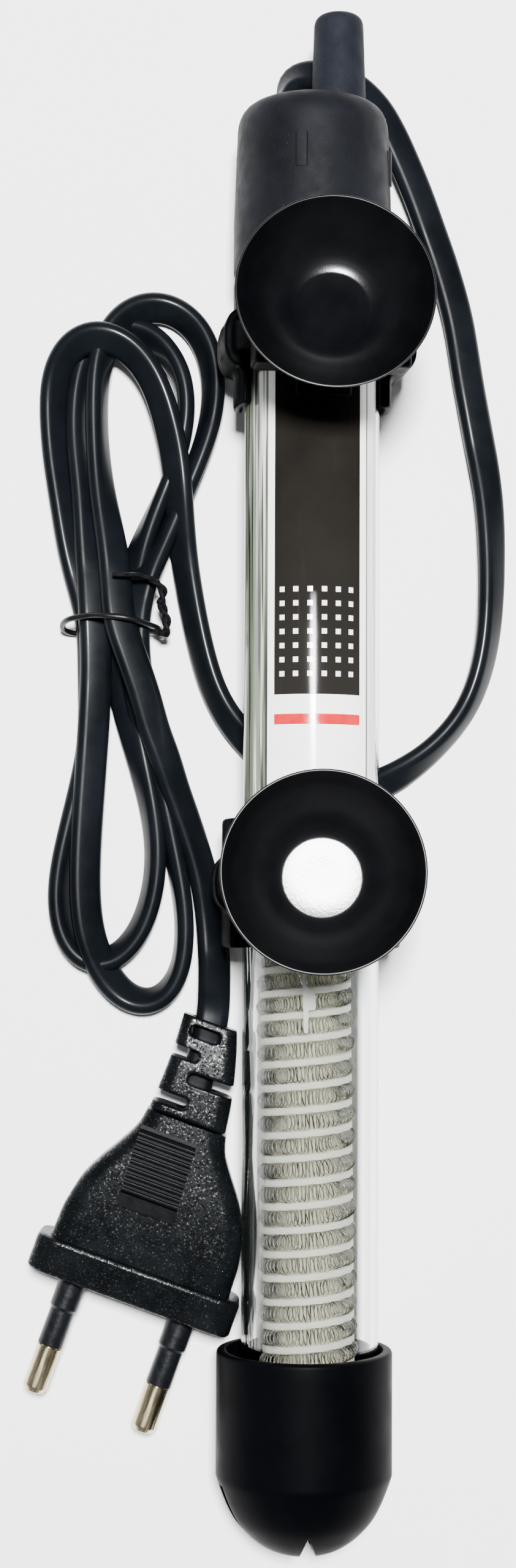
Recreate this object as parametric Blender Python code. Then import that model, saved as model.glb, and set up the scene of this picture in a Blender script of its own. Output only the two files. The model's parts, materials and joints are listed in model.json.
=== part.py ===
"""Submersible aquarium heater, lying on its back with its suction cups up.

Metres, +Z up. The heater's long axis runs along +Y, towards the head, and it
rests on the round guard at its foot. The origin is under the middle of its
bounding box, without the cord. Pieces are turned about the tube's axis or
about a pivot, and each is one closed solid with its own name and material.
"""

import math

import bmesh
import bpy
from mathutils import Matrix, Vector

MM = 0.001
GAP = 0.3 * MM

# Place of the tube's axis
TUBE_X = -1.0 * MM
AXIS_Z = 14.1 * MM

# Glass tube
GLASS_RADIUS = 11.0 * MM
GLASS_WALL = 1.2 * MM
GLASS_TOP = 94.8 * MM
GLASS_DOME = -109.5 * MM
INNER_RADIUS = GLASS_RADIUS - GLASS_WALL
FIT_RADIUS = INNER_RADIUS - GAP

# Printed label round the front of the glass
LABEL_INNER = 11.05 * MM
LABEL_THICK = 0.12 * MM
LABEL_TOP = 80.5 * MM
LABEL_FOOT = -35.4 * MM
LABEL_LEFT = -45.0
LABEL_RIGHT = 53.0

# Head cap
HEAD_RADIUS = 12.9 * MM
HEAD_TOP_RADIUS = 12.2 * MM
HEAD_SHOULDER = 3.0 * MM
HEAD_FOOT = 81.0 * MM
HEAD_TOP = 109.2 * MM
HEAD_DECK = 103.0 * MM
HEAD_BORE = 11.35 * MM
RIB_ANGLES = (-9.5, 80.5, 170.5, 260.5)

# Temperature knob and the spindle under it
KNOB_X = 4.2 * MM
KNOB_BASE_RADIUS = 4.5 * MM
KNOB_TIP_RADIUS = 4.0 * MM
KNOB_TOP = 125.1 * MM
SPINDLE_RADIUS = 1.5 * MM
SPINDLE_BORE = 1.9 * MM
SPINDLE_TIP = 59.0 * MM

# Cord outlet in the head
OUTLET_X = -4.2 * MM
OUTLET_H = -3.5 * MM
GLAND_TOP = 111.0 * MM

# Guard round the foot
GUARD_RADIUS = 14.1 * MM
GUARD_WALL = 1.7 * MM
GUARD_TOP = -92.8 * MM
GUARD_DOME = -112.0 * MM
GUARD_FOOT = -125.1 * MM
GUARD_SLOT = 2.2 * MM
GUARD_TURN = 14.0
GUARD_NOTCH_DEPTH = 2.1 * MM
GUARD_NOTCH_SLIMNESS = 0.62

# Clips that snap round the glass, each with a suction cup
CLIP_BORE = 11.45 * MM
FINGER_RADIUS = 14.0 * MM
FINGER_HEIGHT = 20.8 * MM
HOOP_RADIUS = 15.8 * MM
HOOP_HEIGHT = 5.0 * MM
HOOP_ENDS = 115.0
BOSS_WIDTH = 22.0 * MM
BOSS_HEIGHT = 14.0 * MM
BOSS_TOP = 19.3 * MM
CUP_PIVOT = 18.0 * MM
CUP_RADIUS = 15.5 * MM
CUP_RIM = 30.3 * MM
CUP_DISC = 21.8 * MM
CUP_DISC_RADIUS = 6.0 * MM
# name: (place along Y, turn about the tube, cup's lean to the head, to the right)
CLIPS = {
    "upper": (69.2 * MM, 7.5, 6.5, 2.5),
    "lower": (-18.3 * MM, 4.0, 6.0, 0.0),
}

# Thermostat, on a steel bracket inside the tube
BRACKET_HALF = 6.3 * MM
BRACKET_TOP = -5.4 * MM
BRACKET_THICK = 1.2 * MM
PIVOT_Y = 58.0 * MM
PIVOT_H = -3.8 * MM
PIVOT_PIN = 0.6 * MM
ARM_X = 3.6 * MM
CONTACT_Y = 33.0 * MM

# Heating element
COIL_TOP = -28.8 * MM
COIL_FOOT = -105.3 * MM
COIL_PITCH = 3.75 * MM
COIL_RADIUS = 6.6 * MM
COIL_THICK = 2.7 * MM
FORMER_RADIUS = 4.95 * MM
FORMER_BORE = 1.8 * MM

# Flat two-core cord, and the hank that its middle lies in
CORD_THICK = 2.8 * MM
HANK_HEIGHT = 2 * CORD_THICK
CORD_STEP = 7.0 * MM

# Plug with two round pins
PLUG_PLACE = (-30.7 * MM, -86.7 * MM, 6.95 * MM)
PLUG_TURN = -19.7
PLUG_FACE = 0.8 * MM
PIN_SPACING = 18.8 * MM
PIN_TIP = -18.7 * MM

# The cord from the head, round the right side, under the tube and up to the hank
LEAD_ROUTE = (
    (-5.2, 111.4, 10.6),
    (-5.0, 112.6, 10.3),
    (-4.0, 113.9, 9.7),
    (-2.2, 114.7, 9.0),
    (0.4, 115.0, 8.0),
    (3.4, 114.9, 7.0),
    (6.6, 114.0, 6.0),
    (9.6, 111.8, 5.2),
    (12.2, 108.3, 4.5),
    (14.5, 103.6, 3.8),
    (17.0, 97.8, 3.0),
    (19.3, 91.6, 2.4),
    (21.5, 85.4, 1.9),
    (23.9, 76.7, 1.5),
    (25.5, 66.8, 1.4),
    (27.3, 56.9, 1.4),
    (29.0, 47.0, 1.4),
    (29.5, 37.1, 1.4),
    (29.3, 27.2, 1.4),
    (28.3, 19.5, 1.4),
    (26.0, 12.2, 1.4),
    (23.3, 8.1, 1.4),
    (19.8, 4.3, 1.4),
    (15.8, 1.1, 1.4),
    (11.9, -1.3, 1.4),
    (7.8, -3.0, 1.4),
    (3.6, -3.5, 1.4),
    (-0.4, -2.6, 1.4),
    (-4.4, -0.4, 1.4),
    (-8.4, 2.6, 1.4),
    (-12.0, 6.0, 1.4),
    (-14.8, 9.3, 1.4),
    (-17.1, 13.6, 1.4),
    (-19.0, 19.8, 1.4),
    (-20.7, 27.6, 1.4),
    (-22.2, 36.4, 1.5),
)

# The cord from the hank's foot to the plug
TAIL_ROUTE = (
    (-28.9, 14.9, 4.6),
    (-26.8, 7.6, 4.1),
    (-25.0, 2.5, 3.6),
    (-23.2, -2.7, 3.1),
    (-20.6, -10.4, 2.3),
    (-18.6, -17.3, 1.6),
    (-17.4, -24.3, 1.5),
    (-16.8, -30.6, 2.8),
    (-16.7, -35.8, 5.0),
    (-16.9, -39.9, 6.6),
)

# Outline of the hank, seen from above
HANK_OUTLINE = (
    (-28.7, 81.2),
    (-35.1, 77.7),
    (-41.6, 74.1),
    (-45.7, 67.8),
    (-46.9, 59.9),
    (-45.3, 50.0),
    (-42.8, 40.1),
    (-40.3, 30.2),
    (-39.9, 19.3),
    (-40.6, 5.4),
    (-43.6, -8.4),
    (-45.5, -19.3),
    (-44.2, -28.2),
    (-39.6, -34.2),
    (-34.0, -40.1),
    (-28.7, -41.9),
    (-24.0, -40.1),
    (-20.6, -34.9),
    (-19.4, -29.0),
    (-20.4, -22.0),
    (-22.0, -15.0),
    (-24.4, -7.5),
    (-27.2, 0.0),
    (-29.2, 6.5),
    (-31.2, 13.4),
    (-31.0, 16.6),
    (-28.2, 18.0),
    (-28.0, 26.5),
    (-26.0, 33.0),
    (-24.6, 36.8),
    (-20.4, 36.8),
    (-20.2, 45.0),
    (-18.7, 50.0),
    (-15.9, 57.4),
    (-15.2, 63.8),
    (-15.5, 69.5),
    (-17.2, 74.6),
    (-20.7, 79.0),
    (-24.6, 81.1),
)

# Twist tie over the hank's waist, and its twisted ends
TIE_WIRE = 0.55 * MM
TIE_ROUTE = (
    (-41.6, 23.4, 0.7),
    (-42.0, 24.2, 2.6),
    (-41.3, 25.0, 5.0),
    (-39.8, 25.4, 6.8),
    (-36.8, 25.6, 7.1),
    (-31.4, 25.4, 7.1),
    (-28.2, 24.8, 6.8),
    (-26.8, 24.2, 5.0),
    (-26.2, 24.0, 3.4),
    (-25.6, 25.4, 2.4),
    (-25.2, 27.6, 4.0),
    (-25.6, 29.8, 6.2),
    (-27.8, 31.4, 7.6),
    (-31.2, 32.4, 7.8),
)


def clear_scene():
    for ob in list(bpy.data.objects):
        bpy.data.objects.remove(ob)


def material(name, colour, roughness, metallic=0.0, transmission=0.0):
    mat = bpy.data.materials.new(name)
    mat.use_nodes = True
    shader = mat.node_tree.nodes["Principled BSDF"]
    shader.inputs["Base Color"].default_value = (*colour, 1.0)
    shader.inputs["Roughness"].default_value = roughness
    shader.inputs["Metallic"].default_value = metallic
    shader.inputs["Transmission Weight"].default_value = transmission
    return mat


# ---- general modelling helpers ----


def place(ob, location=(0, 0, 0), rotation=None):
    """Puts an object where its joint or its base point is."""
    turn = rotation.to_4x4() if rotation else Matrix.Identity(4)
    ob.matrix_world = Matrix.Translation(location) @ turn
    return ob


def add_object(name, mesh, mat=None):
    ob = bpy.data.objects.new(name, mesh)
    bpy.context.scene.collection.objects.link(ob)
    if mat:
        mesh.materials.append(mat)
    return ob


def finish_mesh(name, bm, mat=None, smooth=35.0):
    bmesh.ops.remove_doubles(bm, verts=bm.verts, dist=0.002 * MM)
    bmesh.ops.recalc_face_normals(bm, faces=bm.faces)
    mesh = bpy.data.meshes.new(name)
    bm.to_mesh(mesh)
    bm.free()
    mesh.shade_smooth()
    mesh.set_sharp_from_angle(angle=math.radians(smooth))
    return add_object(name, mesh, mat)


def arc(centre, radii, start, end, steps):
    """Points of an elliptical arc in a profile's (radius, height) plane."""
    angles = [math.radians(start + (end - start) * i / steps) for i in range(steps + 1)]
    return [
        (centre[0] + radii[0] * math.cos(a), centre[1] + radii[1] * math.sin(a))
        for a in angles
    ]


def turned(name, profile, mat=None, segments=32):
    """A closed profile of (radius, height) points spun about local Z."""
    bm = bmesh.new()
    verts = [bm.verts.new((max(r, 0.0), 0.0, h)) for r, h in profile]
    edges = [bm.edges.new((verts[i - 1], verts[i])) for i in range(len(verts))]
    on_axis = [e for e in edges if all(v.co.x < 1e-9 for v in e.verts)]
    for edge in on_axis:
        bm.edges.remove(edge)
        edges.remove(edge)
    bmesh.ops.spin(
        bm,
        geom=verts + edges,
        cent=(0, 0, 0),
        axis=(0, 0, 1),
        angle=2 * math.pi,
        steps=segments,
        use_merge=True,
    )
    return finish_mesh(name, bm, mat)


def box(name, low, high, mat=None, bevel=0.0):
    """A block between two corners, with its edges rounded if asked."""
    bm = bmesh.new()
    bmesh.ops.create_cube(bm, size=1.0)
    size = Vector(high) - Vector(low)
    bmesh.ops.scale(bm, vec=size, verts=bm.verts)
    bmesh.ops.translate(bm, vec=(Vector(high) + Vector(low)) / 2, verts=bm.verts)
    if bevel:
        bmesh.ops.bevel(
            bm,
            geom=bm.edges[:],
            offset=bevel,
            segments=2,
            profile=0.5,
            affect="EDGES",
        )
    return finish_mesh(name, bm, mat)


def rod(name, radius, start, end, mat=None, segments=16):
    """A plain cylinder along local Z."""
    profile = ((0, start), (radius, start), (radius, end), (0, end))
    return turned(name, profile, mat, segments)


def sleeve(name, bore, radius, start, end, mat=None, segments=16):
    profile = ((bore, start), (radius, start), (radius, end), (bore, end))
    return turned(name, profile, mat, segments)


def prism(name, outline, low, high, mat=None):
    """An outline in local X and Y, extruded along local Z."""
    bm = bmesh.new()
    face = bm.faces.new([bm.verts.new((x, y, low)) for x, y in outline])
    made = bmesh.ops.extrude_face_region(bm, geom=[face])["geom"]
    verts = [g for g in made if isinstance(g, bmesh.types.BMVert)]
    bmesh.ops.translate(bm, vec=(0, 0, high - low), verts=verts)
    return finish_mesh(name, bm, mat)


def sector_outline(inner, outer, start, end, steps):
    """A piece of a ring in the plane across the tube, angles from the front."""
    angles = [math.radians(start + (end - start) * i / steps) for i in range(steps + 1)]
    out = [(outer * math.sin(a), -outer * math.cos(a)) for a in angles]
    back = [(inner * math.sin(a), -inner * math.cos(a)) for a in reversed(angles)]
    return out + back


def stadium_outline(width, height, steps=6):
    """A slot shape with round ends, its long side along local Y."""
    radius = width / 2
    top = arc((0, (height - width) / 2), (radius, radius), 0, 180, steps)
    foot = arc((0, -(height - width) / 2), (radius, radius), 180, 360, steps)
    return top + foot


def modify(ob, other, operation):
    """Joins or cuts with another object, which is then only a hidden guide."""
    step = ob.modifiers.new(operation.lower(), "BOOLEAN")
    step.operation = operation
    step.object = other
    step.solver = "EXACT"
    other.hide_render = True
    other.display_type = "WIRE"


def smooth_route(points, spacing):
    """Evenly spaced points on a smooth curve through a route's points."""
    pts = [Vector(p) * MM for p in points]
    pts = [2 * pts[0] - pts[1]] + pts + [2 * pts[-1] - pts[-2]]
    fine = []
    for p0, p1, p2, p3 in zip(pts, pts[1:], pts[2:], pts[3:]):
        for k in range(20):
            t = k / 20
            fine.append(
                0.5
                * (
                    2 * p1
                    + (p2 - p0) * t
                    + (2 * p0 - 5 * p1 + 4 * p2 - p3) * t**2
                    + (3 * p1 - p0 - 3 * p2 + p3) * t**3
                )
            )
    fine.append(pts[-2])
    run = [0.0]
    for a, b in zip(fine, fine[1:]):
        run.append(run[-1] + (b - a).length)
    count = max(2, round(run[-1] / spacing))
    out, i = [], 0
    for k in range(count + 1):
        want = run[-1] * k / count
        while i < len(run) - 2 and run[i + 1] < want:
            i += 1
        share = (want - run[i]) / (run[i + 1] - run[i])
        out.append(fine[i].lerp(fine[i + 1], min(1.0, share)))
    return out


def tube(name, points, radius, mat, resolution=1):
    """A round wire or cord along points, with its ends closed."""
    curve = bpy.data.curves.new(name, "CURVE")
    curve.dimensions = "3D"
    curve.bevel_depth = radius
    curve.bevel_resolution = resolution
    curve.use_fill_caps = True
    spline = curve.splines.new("POLY")
    spline.points.add(len(points) - 1)
    for point, co in zip(spline.points, points):
        point.co = (*co, 1.0)
    curve.materials.append(mat)
    ob = bpy.data.objects.new(name, curve)
    bpy.context.scene.collection.objects.link(ob)
    return ob


# ---- the tube's own frame: local Z runs to the head, local Y points down ----

TO_HEAD = Matrix.Rotation(math.radians(-90), 3, "X")


def on_axis(ob, along=0.0, right=0.0, height=0.0, turn=0.0):
    """Places a piece whose local Z is the tube's direction."""
    spin = Matrix.Rotation(math.radians(turn), 3, "Y")
    offset = spin @ Vector((right, 0, height))
    centre = Vector((TUBE_X, along, AXIS_Z))
    return place(ob, centre + offset, spin @ TO_HEAD)


def inside(x, y, h):
    """A point given by its place across, along and above the tube's axis, in mm."""
    return (x + TUBE_X / MM, y, h + AXIS_Z / MM)


# ---- glass and label ----


def make_glass():
    mat = material("clear_glass", (0.95, 0.98, 0.97), 0.03, transmission=1.0)
    outer = arc((0, GLASS_DOME), (GLASS_RADIUS,) * 2, 0, -90, 5)
    inner = arc((0, GLASS_DOME), (INNER_RADIUS,) * 2, -90, 0, 5)
    rim = [(INNER_RADIUS, GLASS_TOP), (GLASS_RADIUS, GLASS_TOP)]
    on_axis(turned("glass_tube", outer + inner + rim, mat, 40))


def make_label():
    mat = material("printed_film", (0.9, 0.9, 0.88), 0.35)
    outline = sector_outline(
        LABEL_INNER, LABEL_INNER + LABEL_THICK, LABEL_LEFT, LABEL_RIGHT, 22
    )
    on_axis(prism("label_film", outline, LABEL_FOOT, LABEL_TOP, mat))


# ---- head ----


def make_head_cap():
    mat = material("head_rubber", (0.03, 0.032, 0.036), 0.75)
    shoulder = arc(
        (HEAD_TOP_RADIUS - HEAD_SHOULDER, HEAD_TOP - HEAD_SHOULDER),
        (HEAD_SHOULDER,) * 2,
        0,
        90,
        4,
    )
    profile = [
        (HEAD_BORE, HEAD_FOOT),
        (HEAD_RADIUS, HEAD_FOOT),
        (HEAD_RADIUS - 0.2 * MM, 94.0 * MM),
        *shoulder,
        (0, HEAD_TOP),
        (0, HEAD_DECK),
        (INNER_RADIUS, HEAD_DECK),
        (INNER_RADIUS, GLASS_TOP + GAP),
        (HEAD_BORE, GLASS_TOP + GAP),
    ]
    cap = on_axis(turned("head_cap", profile, mat, 36))
    ribs = [head_rib(i, angle) for i, angle in enumerate(RIB_ANGLES)]
    for rib in ribs:
        modify(cap, rib, "UNION")
    bore = rod("spindle_hole", SPINDLE_BORE, HEAD_DECK - MM, HEAD_TOP + MM)
    on_axis(bore, right=KNOB_X)
    seat = rod("o_ring_seat", 3.4 * MM, HEAD_DECK - MM, HEAD_DECK + 2 * MM)
    on_axis(seat, right=KNOB_X)
    slot = prism(
        "cord_hole",
        stadium_outline(5.2 * MM, 7.8 * MM),
        HEAD_DECK - MM,
        HEAD_TOP + MM,
    )
    on_axis(slot, right=OUTLET_X, height=OUTLET_H)
    for hole in (bore, seat, slot):
        modify(cap, hole, "DIFFERENCE")


def head_rib(number, angle):
    """One of the small grips on the side of the head."""
    low = (-1.0 * MM, -13.2 * MM, 97.4 * MM)
    high = (1.0 * MM, -10.5 * MM, 102.9 * MM)
    return on_axis(box(f"rib_{number}", low, high, bevel=0.35 * MM), turn=angle)


def make_head_seal():
    mat = material("seal_rubber", (0.08, 0.08, 0.085), 0.6)
    foot, top = 86.0 * MM, 94.4 * MM
    seal = on_axis(rod("head_seal", FIT_RADIUS, foot, top, mat, 28))
    bore = rod("seal_spindle_hole", SPINDLE_BORE, foot - MM, top + MM)
    modify(seal, on_axis(bore, right=KNOB_X), "DIFFERENCE")
    for name, height in (("live", OUTLET_H + 1.3 * MM), ("neutral", OUTLET_H - 1.3 * MM)):
        hole = rod(f"seal_{name}_hole", 1.0 * MM, foot - MM, top + MM, segments=12)
        modify(seal, on_axis(hole, right=OUTLET_X, height=height), "DIFFERENCE")


def make_gland():
    """The bush that the cord comes out of, a collar outside and a shank inside."""
    mat = material("gland_rubber", (0.025, 0.025, 0.028), 0.6)
    shank = stadium_outline(4.6 * MM, 7.2 * MM)
    collar = stadium_outline(5.8 * MM, 8.4 * MM)
    gland = prism("cord_gland", collar, HEAD_TOP + GAP, GLAND_TOP, mat)
    stem = prism("gland_stem", shank, HEAD_DECK, HEAD_TOP + 1.2 * MM)
    hole = prism(
        "gland_hole",
        stadium_outline(3.2 * MM, 5.8 * MM),
        HEAD_DECK - MM,
        GLAND_TOP + MM,
    )
    for ob in (gland, stem, hole):
        on_axis(ob, right=OUTLET_X, height=OUTLET_H)
    modify(gland, stem, "UNION")
    modify(gland, hole, "DIFFERENCE")


# ---- temperature knob ----


def make_knob():
    mat = material("knob_rubber", (0.09, 0.095, 0.105), 0.7)
    foot = HEAD_TOP + GAP
    dome = arc(
        (0, KNOB_TOP - KNOB_TIP_RADIUS), (KNOB_TIP_RADIUS,) * 2, 0, 90, 6
    )
    bore = SPINDLE_RADIUS + GAP
    profile = [
        (bore, foot),
        (KNOB_BASE_RADIUS, foot),
        *dome,
        (0, 120.0 * MM),
        (bore, 120.0 * MM),
    ]
    on_axis(turned("temperature_knob", profile, mat, 28), right=KNOB_X)


def make_spindle():
    mat = material("spindle_brass", (0.72, 0.56, 0.3), 0.3, metallic=1.0)
    tip = SPINDLE_TIP
    profile = (
        (0, tip),
        (0.6 * MM, tip),
        (SPINDLE_RADIUS, tip + 1.5 * MM),
        (SPINDLE_RADIUS, 119.6 * MM),
        (0, 119.6 * MM),
    )
    on_axis(turned("knob_spindle", profile, mat, 16), right=KNOB_X)
    ring = arc((2.45 * MM, 104.0 * MM), (0.58 * MM,) * 2, 0, 315, 7)
    seal = material("o_ring_rubber", (0.02, 0.02, 0.02), 0.5)
    on_axis(turned("spindle_o_ring", ring, seal, 20), right=KNOB_X)
    brass = material("bush_brass", (0.7, 0.53, 0.27), 0.35, metallic=1.0)
    bush = sleeve("adjuster_bush", SPINDLE_RADIUS + GAP, 3.0 * MM, 64 * MM, 70 * MM, brass)
    on_axis(bush, right=KNOB_X)


# ---- thermostat ----


def inner_box(name, low, high, mat=None, bevel=0.0):
    """A block given in mm across, along and above the tube's axis."""
    ob = box(name, Vector(low) * MM, Vector(high) * MM, mat, bevel)
    return place(ob, (TUBE_X, 0, AXIS_Z))


def cross_rod(name, radius, left, right, along, height, mat=None, bore=0.0):
    """A round piece whose axis runs across the tube."""
    if bore:
        ob = sleeve(name, bore, radius, left, right, mat, 12)
    else:
        ob = rod(name, radius, left, right, mat, 12)
    turn = Matrix.Rotation(math.radians(90), 3, "Y")
    return place(ob, (TUBE_X, along, AXIS_Z + height), turn)


def make_bracket():
    mat = material("bracket_steel", (0.62, 0.63, 0.64), 0.35, metallic=1.0)
    half, top = BRACKET_HALF / MM, BRACKET_TOP / MM
    bracket = inner_box(
        "thermostat_bracket", (-half, 20, top - BRACKET_THICK / MM), (half, 83, top), mat
    )
    foot = inner_box("bracket_ear_foot", (-0.6, 66.3, top - 0.6), (5.8, 67.5, -4.2))
    ear = inner_box("bracket_ear", (-1.0, 66.2, -4.8), (8.0, 67.6, 3.9))
    modify(bracket, foot, "UNION")
    modify(bracket, ear, "UNION")
    hole = rod("bush_hole", 3.3 * MM, 65 * MM, 69 * MM)
    modify(bracket, on_axis(hole, right=KNOB_X), "DIFFERENCE")
    for name, left in (("left", 0.6), ("right", 5.5)):
        lug = inner_box(f"pivot_lug_{name}", (left, 56.6, top - 0.6), (left + 0.8, 59.4, -2.5))
        modify(bracket, lug, "UNION")
    hole = cross_rod("pivot_hole", PIVOT_PIN + GAP, 0, 8 * MM, PIVOT_Y, PIVOT_H)
    modify(bracket, hole, "DIFFERENCE")


def make_contact_arm():
    """A bell crank: the spindle pushes its tab, and its long leg moves a contact."""
    mat = material("spring_bronze", (0.75, 0.5, 0.3), 0.3, metallic=1.0)
    centre = (TUBE_X, PIVOT_Y, AXIS_Z + PIVOT_H)
    arm = cross_rod(
        "contact_arm", 1.3 * MM, 1.8 * MM, 5.1 * MM, PIVOT_Y, PIVOT_H, mat, PIVOT_PIN + GAP
    )
    leg = box("arm_leg", (2.3 * MM, -28 * MM, 0.4 * MM), (4.9 * MM, -0.95 * MM, MM))
    tab = box("arm_tab", (2.9 * MM, -0.4 * MM, 1.0 * MM), (4.9 * MM, 0.4 * MM, 4.6 * MM))
    for piece in (leg, tab):
        place(piece, centre)
        modify(arm, piece, "UNION")
    steel = material("pin_steel", (0.7, 0.7, 0.72), 0.25, metallic=1.0)
    cross_rod("arm_pivot_pin", PIVOT_PIN, 0.4 * MM, 6.5 * MM, PIVOT_Y, PIVOT_H, steel)


def upright_rod(name, radius, low, high, along, across, mat):
    ob = rod(name, radius, low, high, mat, 14)
    return place(ob, (TUBE_X + across, along, AXIS_Z))


def make_contacts():
    silver = material("contact_silver", (0.85, 0.84, 0.82), 0.2, metallic=1.0)
    arm_top = PIVOT_H + 1.0 * MM
    low = arm_top + 0.25 * MM
    upright_rod("moving_contact", 1.1 * MM, low, low + 0.8 * MM, CONTACT_Y, ARM_X, silver)
    upright_rod("bimetal_contact", 1.1 * MM, -0.75 * MM, -0.3 * MM, CONTACT_Y, ARM_X, silver)
    bimetal = material("bimetal", (0.72, 0.66, 0.58), 0.3, metallic=1.0)
    inner_box("bimetal_strip", (2.0, 22.0, 0.0), (5.2, 50.0, 0.5), bimetal)
    ceramic = material("post_ceramic", (0.88, 0.86, 0.8), 0.6)
    inner_box("contact_post", (1.8, 22.0, -5.1), (5.4, 26.5, -0.3), ceramic, 0.3 * MM)
    magnet = material("magnet_ferrite", (0.12, 0.11, 0.11), 0.5)
    inner_box("snap_magnet", (2.0, 38.0, -5.1), (5.2, 42.0, -4.1), magnet, 0.2 * MM)


def make_lamp():
    glass = material("lamp_glass", (0.95, 0.55, 0.3), 0.1, transmission=0.6)
    foot, top, radius = 8.0 * MM, 17.0 * MM, 1.9 * MM
    tip = arc((0, top - radius), (radius, radius), 0, 90, 4)
    profile = [(0, foot), (radius, foot), *tip]
    on_axis(turned("indicator_lamp", profile, glass, 16), right=-3.5 * MM)
    body = material("resistor_body", (0.72, 0.62, 0.42), 0.5)
    ends = [(0, -5 * MM), (0.8 * MM, -5 * MM), (1.1 * MM, -4.4 * MM)]
    far = [(1.1 * MM, 0.4 * MM), (0.8 * MM, MM), (0, MM)]
    on_axis(turned("lamp_resistor", ends + far, body, 14), right=-3.5 * MM)


def make_leads():
    """Insulated leads from the cord to the thermostat and the element."""
    brown = material("lead_brown", (0.3, 0.14, 0.07), 0.45)
    blue = material("lead_blue", (0.05, 0.14, 0.42), 0.45)
    white = material("lead_glass_sleeve", (0.85, 0.84, 0.8), 0.7)
    live = (
        inside(-4.2, 101.5, -2.2),
        inside(-4.2, 96.0, -2.2),
        inside(-4.2, 90.0, -2.2),
        inside(-4.3, 84.0, -2.4),
        inside(-4.0, 80.0, -3.4),
        inside(-3.8, 77.4, -4.0),
    )
    neutral = (
        inside(-4.2, 101.5, -4.8),
        inside(-4.2, 95.0, -4.8),
        inside(-4.2, 85.5, -4.8),
        inside(-6.2, 78.0, -4.2),
        inside(-7.6, 68.0, -3.2),
        inside(-7.8, 45.0, -2.4),
        inside(-7.8, 15.0, -1.6),
        inside(-7.6, -6.0, -0.8),
        inside(-7.2, -12.6, 0.0),
    )
    back = (
        inside(0.0, -108.8, 0.0),
        inside(0.0, -60.0, 0.0),
        inside(0.0, -24.0, 0.0),
        inside(0.4, -10.0, -0.4),
        inside(0.8, 2.0, -1.6),
        inside(1.2, 12.0, -3.0),
        inside(1.4, 19.0, -4.4),
    )
    tube("live_lead", smooth_route(live, 3 * MM), 0.6 * MM, brown)
    tube("neutral_lead", smooth_route(neutral, 5 * MM), 0.6 * MM, blue)
    tube("return_lead", smooth_route(back, 7 * MM), 0.6 * MM, white)
    tin = material("crimp_tin", (0.75, 0.75, 0.76), 0.3, metallic=1.0)
    crimp = rod("live_crimp", 1.1 * MM, 71.0 * MM, 77.0 * MM, tin, 12)
    on_axis(crimp, right=-3.8 * MM, height=-4.0 * MM)
    crimp = rod("neutral_crimp", 1.1 * MM, -18.8 * MM, -13.0 * MM, tin, 12)
    on_axis(crimp, right=-7.2 * MM)


# ---- heating element ----


def make_element():
    ceramic = material("former_ceramic", (0.86, 0.83, 0.74), 0.65)
    top, foot = -24.5 * MM, -109.0 * MM
    flange = 8.7 * MM
    profile = (
        (FORMER_BORE, foot),
        (flange, foot),
        (flange, foot + 1.8 * MM),
        (FORMER_RADIUS, foot + 1.8 * MM),
        (FORMER_RADIUS, top - 2.2 * MM),
        (flange, top - 2.2 * MM),
        (flange, top),
        (FORMER_BORE, top),
    )
    on_axis(turned("ceramic_former", profile, ceramic, 24))
    wire = material("resistance_wire", (0.5, 0.48, 0.46), 0.4, metallic=1.0)
    turns = (COIL_TOP - COIL_FOOT) / COIL_PITCH
    count = round(turns * 9)
    points = []
    for i in range(count + 1):
        angle = 2 * math.pi * turns * i / count
        points.append(
            (
                TUBE_X + COIL_RADIUS * math.cos(angle),
                COIL_TOP - COIL_PITCH * angle / (2 * math.pi),
                AXIS_Z - COIL_RADIUS * math.sin(angle),
            )
        )
    tube("heating_coil", points, COIL_THICK / 2, wire, resolution=0)


def make_discs():
    mica = material("mica", (0.8, 0.76, 0.66), 0.5)
    upper = on_axis(rod("upper_disc", 9.4 * MM, -22.0 * MM, -20.2 * MM, mica, 28))
    lower = on_axis(rod("lower_disc", 8.8 * MM, -111.4 * MM, -109.9 * MM, mica, 28))
    holes = (
        (upper, "return_hole", 0.0, 1.1 * MM),
        (upper, "neutral_hole", -7.2 * MM, 0.8 * MM),
        (lower, "vent_hole", 0.0, 1.5 * MM),
    )
    for disc, name, right, radius in holes:
        hole = rod(name, radius, -113 * MM, -19 * MM, segments=10)
        modify(disc, on_axis(hole, right=right), "DIFFERENCE")


# ---- guard ----


def make_guard():
    mat = material("guard_plastic", (0.02, 0.021, 0.024), 0.5)
    drop = GUARD_DOME - GUARD_FOOT
    bore = GUARD_RADIUS - GUARD_WALL
    outer = arc((0, GUARD_DOME), (GUARD_RADIUS, drop), 0, -90, 6)
    inner = arc((0, GUARD_DOME), (bore, drop - GUARD_WALL), -90, 0, 6)
    collar = [
        (HEAD_BORE, GUARD_DOME + 1.0 * MM),
        (HEAD_BORE, GUARD_DOME + 2.4 * MM),
        (bore, GUARD_DOME + 3.4 * MM),
    ]
    rim = [(bore, GUARD_TOP), (GUARD_RADIUS, GUARD_TOP)]
    guard = on_axis(turned("bottom_guard", outer + inner + collar + rim, mat, 36))
    half = GUARD_SLOT / 2
    low = (-20 * MM, -half, GUARD_FOOT - 2 * MM)
    high = (20 * MM, half, GUARD_DOME - 1.6 * MM)
    modify(guard, on_axis(box("guard_slot", low, high), turn=GUARD_TURN), "DIFFERENCE")
    modify(guard, on_axis(guard_notch()), "DIFFERENCE")


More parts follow.
